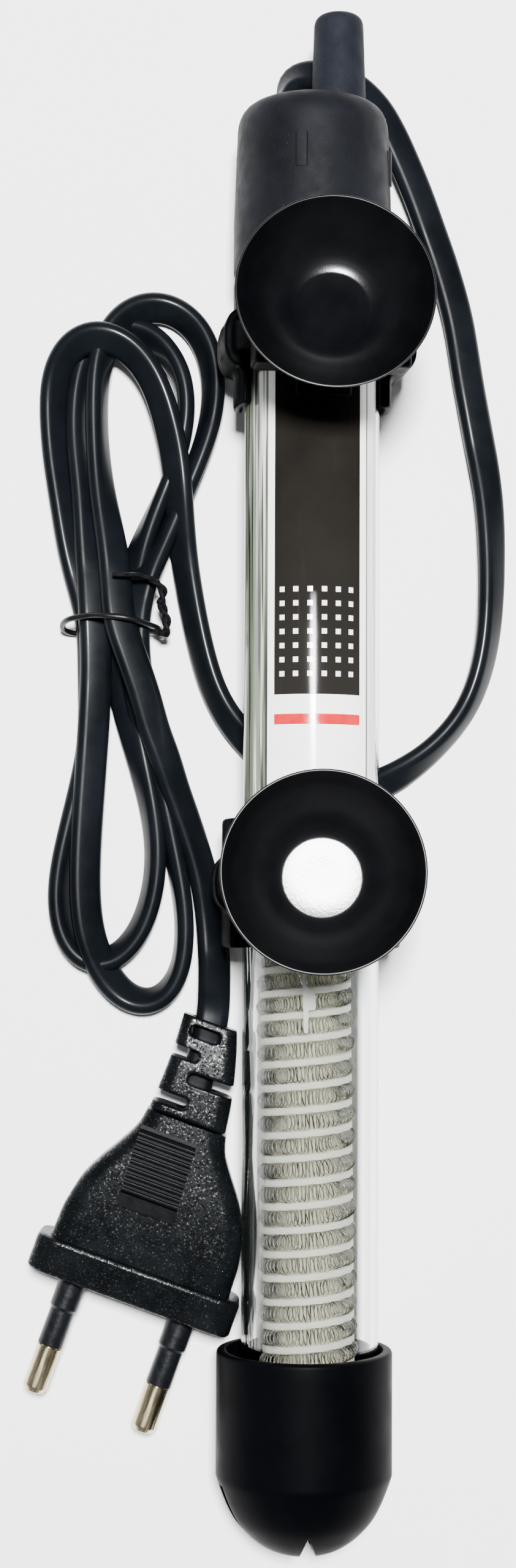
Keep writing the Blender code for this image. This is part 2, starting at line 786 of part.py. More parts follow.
def guard_notch():
    """A wedge that cuts the foot's edge, front and back, between its two lobes."""
    side = GUARD_NOTCH_DEPTH * math.sqrt(2)
    notch = box("guard_notch", (-side, -20 * MM, -side), (side, 20 * MM, side))
    slimmer = Matrix.Diagonal((GUARD_NOTCH_SLIMNESS, 1, 1, 1))
    notch.data.transform(slimmer @ Matrix.Rotation(math.radians(45), 4, "Y"))
    apex = GUARD_FOOT + GUARD_NOTCH_DEPTH
    notch.data.transform(Matrix.Translation((0, 0, apex - side * math.sqrt(2))))
    return notch


# ---- clips and suction cups ----


def clip_turn(turn):
    return Matrix.Rotation(math.radians(turn), 3, "Y")


def make_clip(side):
    """An open hoop with three finger plates, and a boss that the cup's neck snaps in."""
    along, turn, _, _ = CLIPS[side]
    mat = material(f"{side}_clip_plastic", (0.022, 0.023, 0.026), 0.45)
    half = HOOP_HEIGHT / 2
    hoop = sector_outline(12.3 * MM, HOOP_RADIUS, -HOOP_ENDS, HOOP_ENDS, 26)
    clip = on_axis(prism(f"{side}_clip", hoop, -half, half, mat), along, turn=turn)
    for name, middle in (("left", -84.0), ("front", 0.0), ("right", 84.0)):
        finger = sector_outline(CLIP_BORE, FINGER_RADIUS, middle - 25, middle + 25, 6)
        half = FINGER_HEIGHT / 2
        piece = prism(f"{side}_{name}_finger", finger, -half, half)
        modify(clip, on_axis(piece, along, turn=turn), "UNION")
    low = (-BOSS_WIDTH / 2, -BOSS_TOP, -BOSS_HEIGHT / 2)
    high = (BOSS_WIDTH / 2, -12.6 * MM, BOSS_HEIGHT / 2)
    boss = box(f"{side}_boss", low, high, bevel=1.2 * MM)
    modify(clip, on_axis(boss, along, turn=turn), "UNION")
    for name, radius, start, end in (
        ("pocket", 5.2 * MM, 14.3 * MM, 16.9 * MM),
        ("neck_hole", 3.7 * MM, 16.4 * MM, 21.0 * MM),
    ):
        hole = rod(f"{side}_{name}", radius, start, end, segments=20)
        place(hole, (TUBE_X, along, AXIS_Z), clip_turn(turn))
        modify(clip, hole, "DIFFERENCE")


def cup_frame(side):
    """Pivot point and orientation of a cup: its local Z is its own axis."""
    along, turn, lean, right = CLIPS[side]
    spin = clip_turn(turn)
    pivot = Vector((TUBE_X, along, AXIS_Z)) + spin @ Vector((0, 0, CUP_PIVOT))
    tilt = Matrix.Rotation(math.radians(-lean), 3, "X")
    side_lean = Matrix.Rotation(math.radians(right), 3, "Y")
    return pivot, side_lean @ tilt


def make_cup(side):
    mat = material(f"{side}_cup_rubber", (0.018, 0.019, 0.022), 0.35)
    rim, disc = CUP_RIM / MM, CUP_DISC / MM
    edge, flat = CUP_RADIUS / MM, CUP_DISC_RADIUS / MM
    button = ((0, 15.1), (4.2, 15.1), (4.2, 15.85), (2.9, 16.5))
    back = ((2.9, 20.3), (5.2, 20.3), (8.0, 21.0), (11.2, 23.6), (13.9, 27.2))
    lip = ((edge, rim - 0.4), (edge - 0.1, rim), (edge - 0.5, rim - 0.1))
    bowl = ((13.0, 27.4), (10.2, 24.3), (7.6, disc + 0.6), (flat, disc), (0, disc))
    outline = button + back + lip + bowl
    profile = [(r * MM, h * MM - CUP_PIVOT) for r, h in outline]
    cup = turned(f"{side}_suction_cup", profile, mat, 32)
    place(cup, *cup_frame(side))


# ---- cord ----


def make_cord():
    mat = material("cord_pvc", (0.02, 0.022, 0.028), 0.4)
    radius = CORD_THICK / 2
    tube("cord_lead", smooth_route(LEAD_ROUTE, CORD_STEP), radius, mat, 2)
    tube("cord_tail", smooth_route(TAIL_ROUTE, CORD_STEP), radius, mat, 2)
    outline = [(x * MM, y * MM) for x, y in HANK_OUTLINE]
    prism("cord_hank", outline, 0.0, HANK_HEIGHT, mat)
    wire = material("tie_wire", (0.02, 0.02, 0.02), 0.5)
    tube("cord_tie", smooth_route(TIE_ROUTE, 2 * MM), TIE_WIRE, wire, 1)


# ---- plug ----


def rounded_ring(half_width, half_height, corner, steps=4):
    """A rectangle with round corners, in local X and Z."""
    ring = []
    for sx, sz, start in ((1, 1, 0), (-1, 1, 90), (-1, -1, 180), (1, -1, 270)):
        centre = (sx * (half_width - corner), sz * (half_height - corner))
        ring += arc(centre, (corner, corner), start, start + 90, steps)
    return ring


def loft(name, stations, mat):
    """A body whose section changes along local Y.

    A station is (place, half width, half height, corner, shift across), in mm.
    """
    bm = bmesh.new()
    rings = []
    for y, width, height, corner, shift in stations:
        ring = rounded_ring(width, height, corner)
        rings.append([bm.verts.new(((x + shift) * MM, y * MM, z * MM)) for x, z in ring])
    count = len(rings[0])
    for a, b in zip(rings, rings[1:]):
        for i in range(count):
            j = (i + 1) % count
            bm.faces.new((a[i], a[j], b[j], b[i]))
    bm.faces.new(rings[0])
    bm.faces.new(rings[-1])
    return finish_mesh(name, bm, mat)


def on_plug(ob):
    return place(ob, PLUG_PLACE, Matrix.Rotation(math.radians(PLUG_TURN), 3, "Z"))


def along_pin(ob, side):
    """Places a piece turned about local Z on a pin's axis."""
    turn = Matrix.Rotation(math.radians(PLUG_TURN), 3, "Z")
    offset = turn @ Vector((side * PIN_SPACING / 2, 0, 0))
    return place(ob, Vector(PLUG_PLACE) + offset, turn @ TO_HEAD)


def make_plug():
    mat = material("plug_pvc", (0.02, 0.021, 0.024), 0.5)
    face = PLUG_FACE / MM
    body = loft(
        "plug_body",
        (
            (face, 16.9, 6.4, 3.4, 0.0),
            (face + 0.5, 17.35, 6.85, 3.6, 0.0),
            (6.1, 17.35, 6.85, 3.6, 0.0),
            (6.7, 16.8, 6.5, 3.4, 0.0),
            (7.2, 15.4, 6.1, 3.2, 0.0),
            (12.4, 15.0, 6.0, 3.2, 0.0),
            (17.2, 13.9, 5.8, 3.2, 0.0),
            (21.0, 12.0, 5.6, 3.2, -0.1),
            (24.5, 9.7, 5.4, 3.2, -0.3),
            (28.0, 7.6, 5.2, 3.2, -0.6),
            (31.0, 6.8, 5.0, 3.2, -0.8),
        ),
        mat,
    )
    on_plug(body)
    for side, name in ((-1, "left"), (1, "right")):
        hole = rod(f"pin_hole_{name}", 2.6 * MM, -2 * MM, 9 * MM)
        modify(body, along_pin(hole, side), "DIFFERENCE")
    relief = loft(
        "plug_strain_relief",
        (
            (31.3, 6.6, 4.6, 2.6, -0.8),
            (36.0, 6.1, 4.3, 2.4, -1.0),
            (40.0, 5.6, 4.0, 2.2, -1.4),
            (44.0, 5.1, 3.6, 2.0, -2.0),
            (47.6, 4.6, 3.2, 1.8, -2.7),
        ),
        mat,
    )
    on_plug(relief)


def make_pins():
    nickel = material("pin_nickel", (0.78, 0.74, 0.66), 0.2, metallic=1.0)
    black = material("pin_sleeve_plastic", (0.02, 0.02, 0.022), 0.45)
    core, tip = 1.35 * MM, 2.0 * MM
    start = -11.0 * MM
    for side, name in ((-1, "left"), (1, "right")):
        dome = arc((0, PIN_TIP + 1.6 * MM), (tip, 1.6 * MM), -90, 0, 4)
        profile = [*dome, (tip, start), (core, start), (core, 8.0 * MM), (0, 8.0 * MM)]
        along_pin(turned(f"plug_pin_{name}", profile, nickel, 16), side)
        bore = core + 0.25 * MM
        sleeve_profile = (
            (bore, start + 0.2 * MM),
            (1.95 * MM, start + 0.2 * MM),
            (1.95 * MM, -4.6 * MM),
            (2.3 * MM, -4.0 * MM),
            (2.3 * MM, 7.6 * MM),
            (bore, 7.6 * MM),
        )
        along_pin(turned(f"pin_sleeve_{name}", sleeve_profile, black, 16), side)


def main():
    clear_scene()
    make_glass()
    make_label()
    make_head_cap()
    make_head_seal()
    make_gland()
    make_knob()
    make_spindle()
    make_bracket()
    make_contact_arm()
    make_contacts()
    make_lamp()
    make_leads()
    make_element()
    make_discs()
    make_guard()
    for side in CLIPS:
        make_clip(side)
        make_cup(side)
    make_cord()
    make_plug()
    make_pins()


main()
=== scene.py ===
"""Looks of a submersible aquarium heater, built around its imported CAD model.

The heater lies along +Y with its head at +Y and its suction cups up. Sizes are
in millimetres and are turned into metres where a mesh is made. A "place" is a
matrix from a piece's own axes to the frame. The tube's own axes have local Z
towards the head and local -Y up, towards the cups.
"""

import json
import math

import bmesh
import bpy
import numpy as np
from mathutils import Matrix, Vector


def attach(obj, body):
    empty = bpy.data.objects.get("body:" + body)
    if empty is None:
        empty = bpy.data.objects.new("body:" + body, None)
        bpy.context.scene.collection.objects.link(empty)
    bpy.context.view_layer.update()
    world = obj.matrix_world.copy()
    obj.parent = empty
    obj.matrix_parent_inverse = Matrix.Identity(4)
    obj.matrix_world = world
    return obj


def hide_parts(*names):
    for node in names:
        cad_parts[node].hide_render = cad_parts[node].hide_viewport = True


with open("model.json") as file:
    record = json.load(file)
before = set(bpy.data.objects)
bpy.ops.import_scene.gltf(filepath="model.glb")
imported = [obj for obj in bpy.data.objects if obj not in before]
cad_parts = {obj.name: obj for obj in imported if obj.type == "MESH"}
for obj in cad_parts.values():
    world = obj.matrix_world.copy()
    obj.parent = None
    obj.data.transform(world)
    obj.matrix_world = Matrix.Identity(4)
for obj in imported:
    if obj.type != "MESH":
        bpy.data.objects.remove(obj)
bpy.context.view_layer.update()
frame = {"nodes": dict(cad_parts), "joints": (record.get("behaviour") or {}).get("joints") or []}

MM = 0.001
BODY = "heater_body"

# ---- sizes, as in the CAD ----

TUBE_X = -1.0
AXIS_Z = 14.1
GLASS_RADIUS = 11.0
GLASS_BORE = 9.8
GLASS_TOP = 94.8
GLASS_DOME = -109.5
DOME_STEPS = 14
LABEL_RADIUS = 11.05
LABEL_THICK = 0.12
LABEL_LEFT, LABEL_RIGHT = -40.0, 49.5
LABEL_FOOT, LABEL_TOP = -27.5, 80.5
PANEL_LEFT, PANEL_RIGHT = -33.0, 41.8
PANEL_FOOT = 11.5
# Film strips carrying painted refraction bands at the tube's sides reach out to these angles.
SIDE_BANDS_LEFT, SIDE_BANDS_RIGHT = -78.0, 66.0
BAND_FILM_THICK = 0.06
PAINT_THICK = 0.03
MARK_COLUMNS, MARK_ROWS = 6, 7
MARK_LEFT, MARK_PITCH, MARK_WIDE = -25.9, 11.7, 2.15
MARK_TOP, MARK_DROP, MARK_TALL = 28.2, 2.24, 0.42
BAR_ENDS = (6.75, 8.4)
HEAD_RADIUS = 12.9
HEAD_FOOT, HEAD_TOP = 81.0, 109.2
HEAD_BORE = 11.35
HEAD_RIBS = ((-9.5, 12.85), (80.5, 12.95), (170.5, 12.85), (260.5, 12.62))
EDGE_ROUND = 0.35
KNOB_X = 4.2
KNOB_TOP = 124.4
OUTLET_X, OUTLET_H = -4.2, -3.5
GUARD_RADIUS = 14.1
GUARD_WALL = 1.7
GUARD_TOP, GUARD_DOME, GUARD_FOOT = -92.8, -112.0, -125.1
GUARD_TURN = 14.0
GUARD_SHIFT = -0.85
GUARD_STEPS = 16
SIGHT_TILT = 75.0
CLIP_TURN = {"upper": 7.5, "lower": 4.0}
FINGER_BORE, FINGER_ARC, FINGER_HALF = 11.45, 21, 10.4
FINGER_REACH = {"upper": 12.9, "lower": 14.4}
EAR_ROUND = 0.8
LEFT_EAR_REACH = {"upper": 15.2, "lower": 16.0}
CUP_SPREAD = {"upper": 0.985, "lower": 1.0}
CUP_SET = {"upper": 0.5, "lower": 0.3}
SWIVEL_HEIGHT = 18.0
COIL_TOP, COIL_FOOT = -28.8, -105.3
COIL_PITCH = 3.75
COIL_LEAN = 0.7
COIL_RADIUS = 6.6
SPRING_RADIUS = 1.35
WINDING_PITCH, POINTS_PER_WINDING = 0.7, 10
WIRE_RADIUS = 0.092
CORD_WIDTH, CORD_THICK = 5.4, 2.8
PLUG_PLACE = (-30.7, -86.7, 6.95)
PLUG_TURN = -19.7
PIN_SPACING = 18.8
PIN_TIP = -18.7

CAMERA_PLACE = (-9.6, -21.1, 400.0)
CAMERA_PITCH, CAMERA_ROLL = 2.8, 0.23
CAMERA_LENS = 54.7
LAMP_PLACE, LAMP_TARGET = (27.0, 155.0, 963.0), (0.0, 0.0, 30.0)
LAMP_SIZE, LAMP_POWER = 135.0, 46.0
FLOOR_HALF = 1500.0

TO_HEAD = Matrix.Rotation(math.radians(-90), 4, "X")


# ---- camera ----


def make_camera():
    """Looks down on the heater, almost square to it."""
    data = bpy.data.cameras.new("camera")
    data.sensor_width = 36.0
    data.lens = CAMERA_LENS
    data.clip_start, data.clip_end = 0.01, 20.0
    camera = bpy.data.objects.new("camera", data)
    bpy.context.scene.collection.objects.link(camera)
    pitch = Matrix.Rotation(math.radians(CAMERA_PITCH), 4, "X")
    roll = Matrix.Rotation(math.radians(CAMERA_ROLL), 4, "Z")
    camera.matrix_world = Matrix.Translation(Vector(CAMERA_PLACE) * MM) @ pitch @ roll
    bpy.context.scene.camera = camera


# ---- material helpers ----


def feed(tree, made, values):
    """Sets a node's inputs, each to a number, a colour or another node's socket."""
    for key, value in values.items():
        if isinstance(value, bpy.types.NodeSocket):
            tree.links.new(value, made.inputs[key])
        else:
            made.inputs[key].default_value = value


def node(tree, kind, inputs=None, **settings):
    """Adds a shader node with its settings and inputs."""
    made = tree.nodes.new(kind)
    for key, value in settings.items():
        setattr(made, key, value)
    feed(tree, made, inputs or {})
    return made


def new_material(name):
    mat = bpy.data.materials.new(name)
    mat.use_nodes = True
    return mat, mat.node_tree, mat.node_tree.nodes["Principled BSDF"]


def coordinates(tree, stretch=(1, 1, 1)):
    """The piece's own coordinates in millimetres, stretched along some axes."""
    where = node(tree, "ShaderNodeTexCoord").outputs["Object"]
    scale = [1 / (MM * s) for s in stretch]
    return node(tree, "ShaderNodeMapping", {"Vector": where, "Scale": scale}).outputs[0]


def one_axis(tree, where, axis):
    return node(tree, "ShaderNodeSeparateXYZ", {"Vector": where}).outputs[axis]


def radius_of(tree, where):
    """How far a point is from the piece's own Z axis."""
    parts = node(tree, "ShaderNodeSeparateXYZ", {"Vector": where}).outputs
    flat = node(tree, "ShaderNodeCombineXYZ", {"X": parts["X"], "Y": parts["Y"]}).outputs[0]
    return node(tree, "ShaderNodeVectorMath", {0: flat}, operation="LENGTH").outputs["Value"]


def noise(tree, where, size, detail=3.0):
    """A cloudy pattern, with patches of about a size in millimetres."""
    inputs = {"Vector": where, "Scale": 1 / size, "Detail": detail, "Roughness": 0.55}
    return node(tree, "ShaderNodeTexNoise", inputs).outputs["Fac"]


def spread(tree, value, low, high, out_low=0.0, out_high=1.0):
    """Maps the range from low to high onto another one, and stays inside it."""
    inputs = {"Value": value, "From Min": low, "From Max": high, "To Min": out_low, "To Max": out_high}
    return node(tree, "ShaderNodeMapRange", inputs).outputs["Result"]


def blend_colours(tree, factor, first, second):
    """Mixes two colours; each of them is plain or another node's socket."""
    first, second = (c if isinstance(c, bpy.types.NodeSocket) else (*c, 1.0) for c in (first, second))
    return node(tree, "ShaderNodeMix", {0: factor, 6: first, 7: second}, data_type="RGBA").outputs[2]


def mottled(tree, cloud, dark, light):
    return blend_colours(tree, spread(tree, cloud, 0.35, 0.65), dark, light)


def uneven(tree, cloud, low, high):
    """A roughness that wanders between two values."""
    return spread(tree, cloud, 0.3, 0.7, low, high)


def bump(tree, shader, height, depth):
    """Relief of some depth in millimetres."""
    made = node(tree, "ShaderNodeBump", {"Height": height, "Distance": depth * MM, "Strength": 1.0})
    tree.links.new(made.outputs["Normal"], shader.inputs["Normal"])


def moulded(
    name, dark, light, gloss=(0.4, 0.55), mottle=7.0, grain=0.35, depth=0.012,
    fleck=None, stretch=(1, 1, 1), metallic=0.0, specular=0.5,
):
    """Plastic, rubber or metal: mottled colour, uneven gloss, fine grain, pale flecks."""
    mat, tree, shader = new_material(name)
    where = coordinates(tree, stretch)
    colour = mottled(tree, noise(tree, where, mottle), dark, light)
    fine = noise(tree, where, grain, detail=2.0)
    if fleck:
        amount, pale = fleck
        spots = spread(tree, fine, 0.7 - amount, 0.78 - amount)
        colour = blend_colours(tree, spots, colour, pale)
    looks = {
        "Base Color": colour,
        "Roughness": uneven(tree, noise(tree, where, mottle / 3), *gloss),
        "Metallic": metallic,
        "Specular IOR Level": specular,
    }
    feed(tree, shader, looks)
    bump(tree, shader, fine, depth)
    return mat


# ---- mesh helpers ----


def turn_outward(mesh):
    """Makes a closed mesh's faces all face outwards."""
    if len(mesh.polygons) < 2:
        return
    shell = bmesh.new()
    shell.from_mesh(mesh)
    bmesh.ops.recalc_face_normals(shell, faces=shell.faces)
    shell.to_mesh(mesh)
    shell.free()


def crease(mesh, degrees):
    """Shades a mesh smooth, except over edges that turn by more than this."""
    mesh.shade_smooth()
    mesh.set_sharp_from_angle(angle=math.radians(degrees))


def new_object(name, verts, faces, mat, place=None, smooth=40.0):
    """A piece from points in millimetres in its own axes, put at its place."""
    mesh = bpy.data.meshes.new(name)
    mesh.from_pydata([tuple(float(c) * MM for c in v) for v in verts], [], faces)
    mesh.validate()
    turn_outward(mesh)
    crease(mesh, smooth)
    mesh.materials.append(mat)
    piece = bpy.data.objects.new(name, mesh)
    bpy.context.scene.collection.objects.link(piece)
    if place:
        piece.matrix_world = place
    return piece


def at(x=0.0, y=0.0, z=0.0):
    return Matrix.Translation(Vector((x, y, z)) * MM)


def turned_by(degrees, axis):
    return Matrix.Rotation(math.radians(degrees), 4, axis)


def tube_place(along=0.0, right=0.0, height=0.0, turn=0.0):
    """Place of a piece whose local Z is the tube's direction."""
    spin = turned_by(turn, "Y")
    centre = Vector((TUBE_X, along, AXIS_Z)) + spin @ Vector((right, 0, height))
    return at(*centre) @ spin @ TO_HEAD


def rounded(corners, closed=False, steps=5):
    """A line through (a, b, radius) corners, each rounded by its radius."""
    count = len(corners)
    out = []
    for i, (a, b, radius) in enumerate(corners):
        here = np.array((a, b), float)
        ends = not closed and i in (0, count - 1)
        if radius <= 0 or ends:
            out.append(tuple(here))
            continue
        before = np.array(corners[i - 1][:2], float)
        after = np.array(corners[(i + 1) % count][:2], float)
        back, ahead = before - here, after - here
        reach = min(np.linalg.norm(back), np.linalg.norm(ahead)) * 0.49
        u, v = back / np.linalg.norm(back), ahead / np.linalg.norm(ahead)
        half = math.acos(max(-1.0, min(1.0, float(u @ v)))) / 2
        cut = min(radius / max(math.tan(half), 0.05), reach)
        for k in range(steps + 1):
            t = k / steps
            point = (1 - t) ** 2 * (here + u * cut) + 2 * t * (1 - t) * here + t**2 * (here + v * cut)
            out.append(tuple(point))
    return out


def lathe(name, profile, mat, place, segments=96, smooth=40.0):
    """A closed profile of (radius, height) points spun about local Z."""
    verts, rings = [], []
    for r, h in profile:
        if r < 1e-6:
            rings.append([len(verts)] * segments)
            verts.append((0, 0, h))
            continue
        rings.append(list(range(len(verts), len(verts) + segments)))
        for k in range(segments):
            a = 2 * math.pi * k / segments
            verts.append((r * math.cos(a), r * math.sin(a), h))
    faces = []
    for i, ring in enumerate(rings):
        following = rings[(i + 1) % len(rings)]
        for k in range(segments):
            n = (k + 1) % segments
            quad = [ring[k], ring[n], following[n], following[k]]
            face = [v for j, v in enumerate(quad) if v != quad[j - 1]]
            if len(face) > 2:
                faces.append(face)
    return new_object(name, verts, faces, mat, place, smooth)


def prism(name, outline, low, high, mat, place=None):
    """An outline in local X and Y, extruded along local Z."""
    count = len(outline)
    verts = [(x, y, low) for x, y in outline] + [(x, y, high) for x, y in outline]
    faces = [list(range(count - 1, -1, -1)), list(range(count, 2 * count))]
    for i in range(count):
        j = (i + 1) % count
        faces.append([i, j, count + j, count + i])
    return new_object(name, verts, faces, mat, place)


def sector(inner, outer, start, end, steps):
    """A piece of a ring across the tube, angles from the top, positive to the right."""
    angles = [math.radians(start + (end - start) * i / steps) for i in range(steps + 1)]
    out = [(outer * math.sin(a), -outer * math.cos(a)) for a in angles]
    back = [(inner * math.sin(a), -inner * math.cos(a)) for a in reversed(angles)]
    return out + back


def block(name, low, high, mat, place, edge=0.0):
    """A box between two corners, with round edges along local Z."""
    x0, y0, z0 = low
    x1, y1, z1 = high
    corners = ((x0, y0, edge), (x1, y0, edge), (x1, y1, edge), (x0, y1, edge))
    return prism(name, rounded(corners, closed=True), z0, z1, mat, place)


def sweep(name, points, section, mat, rolls=None):
    """A section of (side, up) points carried along a line; a roll turns it."""
    points = np.array(points, float)
    tangents = np.gradient(points, axis=0)
    tangents /= np.linalg.norm(tangents, axis=1)[:, None]
    side = np.cross(tangents, (0, 0, 1.0))
    side /= np.maximum(np.linalg.norm(side, axis=1), 1e-9)[:, None]
    up = np.cross(side, tangents)
    angle = np.radians(rolls if rolls is not None else np.zeros(len(points)))
    cos, sin = np.cos(angle)[:, None], np.sin(angle)[:, None]
    across, above = side * cos + up * sin, up * cos - side * sin
    out, rise = np.array(section, float)[None, :, :1], np.array(section, float)[None, :, 1:]
    rings = points[:, None, :] + across[:, None, :] * out + above[:, None, :] * rise
    return ringed(name, rings, mat)


def ringed(name, rings, mat, caps=True, place=None, smooth=40.0):
    """A skin over rings of equally many points, with its ends closed."""
    count = rings.shape[1]
    faces = []
    for i in range(len(rings) - 1):
        a, b = i * count, (i + 1) * count
        for k in range(count):
            n = (k + 1) % count
            faces.append([a + k, b + k, b + n, a + n])
    if caps:
        last = (len(rings) - 1) * count
        faces.append(list(range(count)))
        faces.append([last + k for k in reversed(range(count))])
    return new_object(name, rings.reshape(-1, 3), faces, mat, place, smooth)


def circle(radius, steps=12):
    angles = [2 * math.pi * k / steps for k in range(steps)]
    return [(radius * math.cos(a), radius * math.sin(a)) for a in angles]


def stadium(width, height, steps=8):
    """A flat cord's section: straight above and below, round at the sides."""
    radius, reach = height / 2, (width - height) / 2
    turns = [math.pi * (k / steps - 0.5) for k in range(steps + 1)]
    right = [(reach + radius * math.cos(a), radius * math.sin(a)) for a in turns]
    return right + [(-x, -y) for x, y in right]


def smooth_line(points, spacing):
    """Evenly spaced points on a smooth curve through a list's points."""
    pts = np.array(points, float)
    pts = np.vstack([2 * pts[0] - pts[1], pts, 2 * pts[-1] - pts[-2]])
    fine = []
    for p0, p1, p2, p3 in zip(pts, pts[1:], pts[2:], pts[3:]):
        square = 2 * p0 - 5 * p1 + 4 * p2 - p3
        cube = 3 * p1 - p0 - 3 * p2 + p3
        fine += [0.5 * (2 * p1 + (p2 - p0) * t + square * t**2 + cube * t**3) for t in np.arange(0, 1, 0.05)]
    fine = np.array(fine + [pts[-2]])
    step = np.linalg.norm(np.diff(fine[:, :3], axis=0), axis=1)
    run = np.concatenate([[0], np.cumsum(step)])
    places = np.linspace(0, run[-1], max(2, round(run[-1] / spacing)) + 1)
    return np.stack([np.interp(places, run, fine[:, k]) for k in range(fine.shape[1])], axis=1)


def combine(piece, others, operation):
    """Joins or cuts a piece with others, and removes them."""
    for other in others:
        step = piece.modifiers.new("boolean", "BOOLEAN")
        step.operation = operation
        step.object = other
        step.solver = "EXACT"
    settle(piece)
    for other in others:
        bpy.data.objects.remove(other)


def settle(piece):
    """Makes the modifiers' result the piece's own mesh."""
    graph = bpy.context.evaluated_depsgraph_get()
    graph.update()
    mesh = bpy.data.meshes.new_from_object(piece.evaluated_get(graph))
    piece.modifiers.clear()
    turn_outward(mesh)
    piece.data = mesh


def soften(piece, voxel, passes):
    """Moulded edges: an even fine mesh whose sharp edges are smoothed off."""
    mat = piece.data.materials[0]
    remesh = piece.modifiers.new("remesh", "REMESH")
    remesh.mode = "VOXEL"
    remesh.voxel_size = voxel * MM
    remesh.use_smooth_shade = True
    even = piece.modifiers.new("smooth", "SMOOTH")
    even.factor = 0.5
    even.iterations = passes
    settle(piece)
    piece.data.materials.clear()
    piece.data.materials.append(mat)
    crease(piece.data, 60.0)


def bevel(piece, segments, angle):
    """Rounds off the edges that turn by more than an angle."""
    edge = piece.modifiers.new("edge", "BEVEL")
    edge.width = EDGE_ROUND * MM
    edge.segments = segments
    edge.limit_method = "ANGLE"
    edge.angle_limit = math.radians(angle)
    settle(piece)


def fasten(piece, slot, *nodes, body=BODY):
    """The piece rides on a body, and stands for CAD nodes if it is given any."""
    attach(piece, body)
    if nodes:
        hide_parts(*nodes)
    return piece


# ---- cord ----

# Places are (x, y, height, roll): the height is that of a flat cord's middle,
# and a cord that is rolled on edge is lifted by what it then needs.
LEAD_ROUTE = (
    (-5.2, 111.4, 10.6, 88), (-5.0, 113.4, 10.2, 62), (-3.9, 115.3, 9.6, 36), (-2.0, 116.3, 8.9, 20),
    (0.6, 116.7, 7.9, 15), (3.6, 116.3, 6.9, 15), (6.8, 114.8, 6.0, 15), (9.8, 112.0, 5.2, 15),
    (12.2, 108.3, 4.5, 15), (14.5, 103.6, 3.8, 12), (17.0, 97.8, 3.0, 8), (19.3, 91.6, 2.4, 4),
    (21.5, 85.4, 1.9, 2), (23.9, 76.7, 1.5, 0), (25.5, 66.8, 1.4, 0), (27.3, 56.9, 1.4, 12),
    (29.0, 47.0, 1.4, 30), (29.5, 37.1, 1.4, 44), (29.3, 27.2, 1.4, 52), (28.3, 19.5, 1.4, 60),
    (26.0, 12.2, 1.4, 66), (23.3, 8.1, 1.4, 70), (19.8, 4.3, 1.4, 68), (15.8, 1.1, 1.4, 52),
    (11.9, -1.3, 1.4, 24), (7.8, -3.0, 1.4, 4), (3.6, -3.5, 1.4, 0), (-0.4, -2.6, 1.4, 0),
    (-4.4, -0.4, 1.4, 0), (-8.4, 2.6, 1.4, 14), (-12.0, 6.0, 1.4, 34), (-14.8, 9.3, 1.4, 46),
    (-17.1, 13.6, 1.4, 50), (-19.0, 19.8, 1.4, 50), (-20.7, 27.6, 1.4, 48), (-22.2, 36.4, 1.5, 44),
)
TOP_LOOP_A = (
    (-22.7, 42.1, 3.2, 40), (-23.1, 47.0, 4.3, 36), (-23.5, 52.0, 4.5, 34), (-24.5, 56.9, 4.5, 34),
    (-25.8, 61.9, 4.5, 36), (-27.5, 66.5, 4.9, 38), (-30.0, 70.0, 5.8, 36), (-33.3, 72.6, 6.9, 30),
    (-37.1, 73.4, 7.2, 26), (-40.4, 72.4, 6.0, 28), (-42.9, 69.4, 3.9, 34), (-44.3, 65.3, 2.1, 40),
    (-44.2, 59.9, 1.4, 42), (-43.8, 54.0, 1.4, 42), (-42.6, 47.0, 1.4, 40), (-40.8, 37.1, 1.5, 26),
    (-39.0, 31.0, 1.9, 8), (-37.4, 25.2, 2.3, 0),
)
BOTTOM_LOOP_A = (
    (-37.3, 18.0, 1.8, 14), (-37.2, 6.4, 1.4, 36), (-38.9, -2.5, 1.4, 48), (-40.9, -10.4, 1.4, 54),
    (-42.4, -17.3, 1.4, 58), (-42.6, -21.5, 1.4, 58), (-41.9, -26.3, 1.4, 56), (-39.9, -30.3, 1.4, 54),
    (-36.9, -32.2, 1.4, 54), (-33.4, -31.4, 1.4, 56), (-30.2, -28.2, 1.4, 60), (-27.9, -23.4, 1.4, 64),
    (-26.7, -17.5, 1.4, 68), (-26.5, -12.4, 1.4, 68), (-27.1, -7.5, 1.4, 66), (-28.1, -2.5, 1.4, 60),
    (-29.5, 2.5, 1.4, 50), (-30.7, 7.4, 1.4, 36), (-32.0, 12.4, 1.5, 18), (-32.6, 18.0, 1.8, 4),
    (-32.2, 25.2, 2.3, 0),
)
TOP_LOOP_B = (
    (-31.4, 31.0, 1.9, 20), (-30.2, 36.1, 1.4, 50), (-27.7, 42.5, 1.4, 74), (-24.8, 49.0, 1.4, 86),
    (-22.6, 54.9, 1.4, 88), (-21.7, 60.9, 1.4, 86), (-22.1, 65.8, 1.4, 78), (-24.0, 70.0, 1.4, 66),
    (-27.2, 73.6, 1.4, 52), (-31.0, 75.3, 1.4, 36), (-34.8, 75.0, 1.4, 30), (-38.0, 71.5, 1.4, 44),
    (-39.9, 65.0, 1.4, 62), (-40.3, 57.0, 1.5, 66), (-38.8, 47.0, 2.6, 50), (-37.8, 37.0, 4.0, 24),
    (-37.2, 31.0, 4.7, 6), (-36.9, 25.2, 5.1, 0),
)
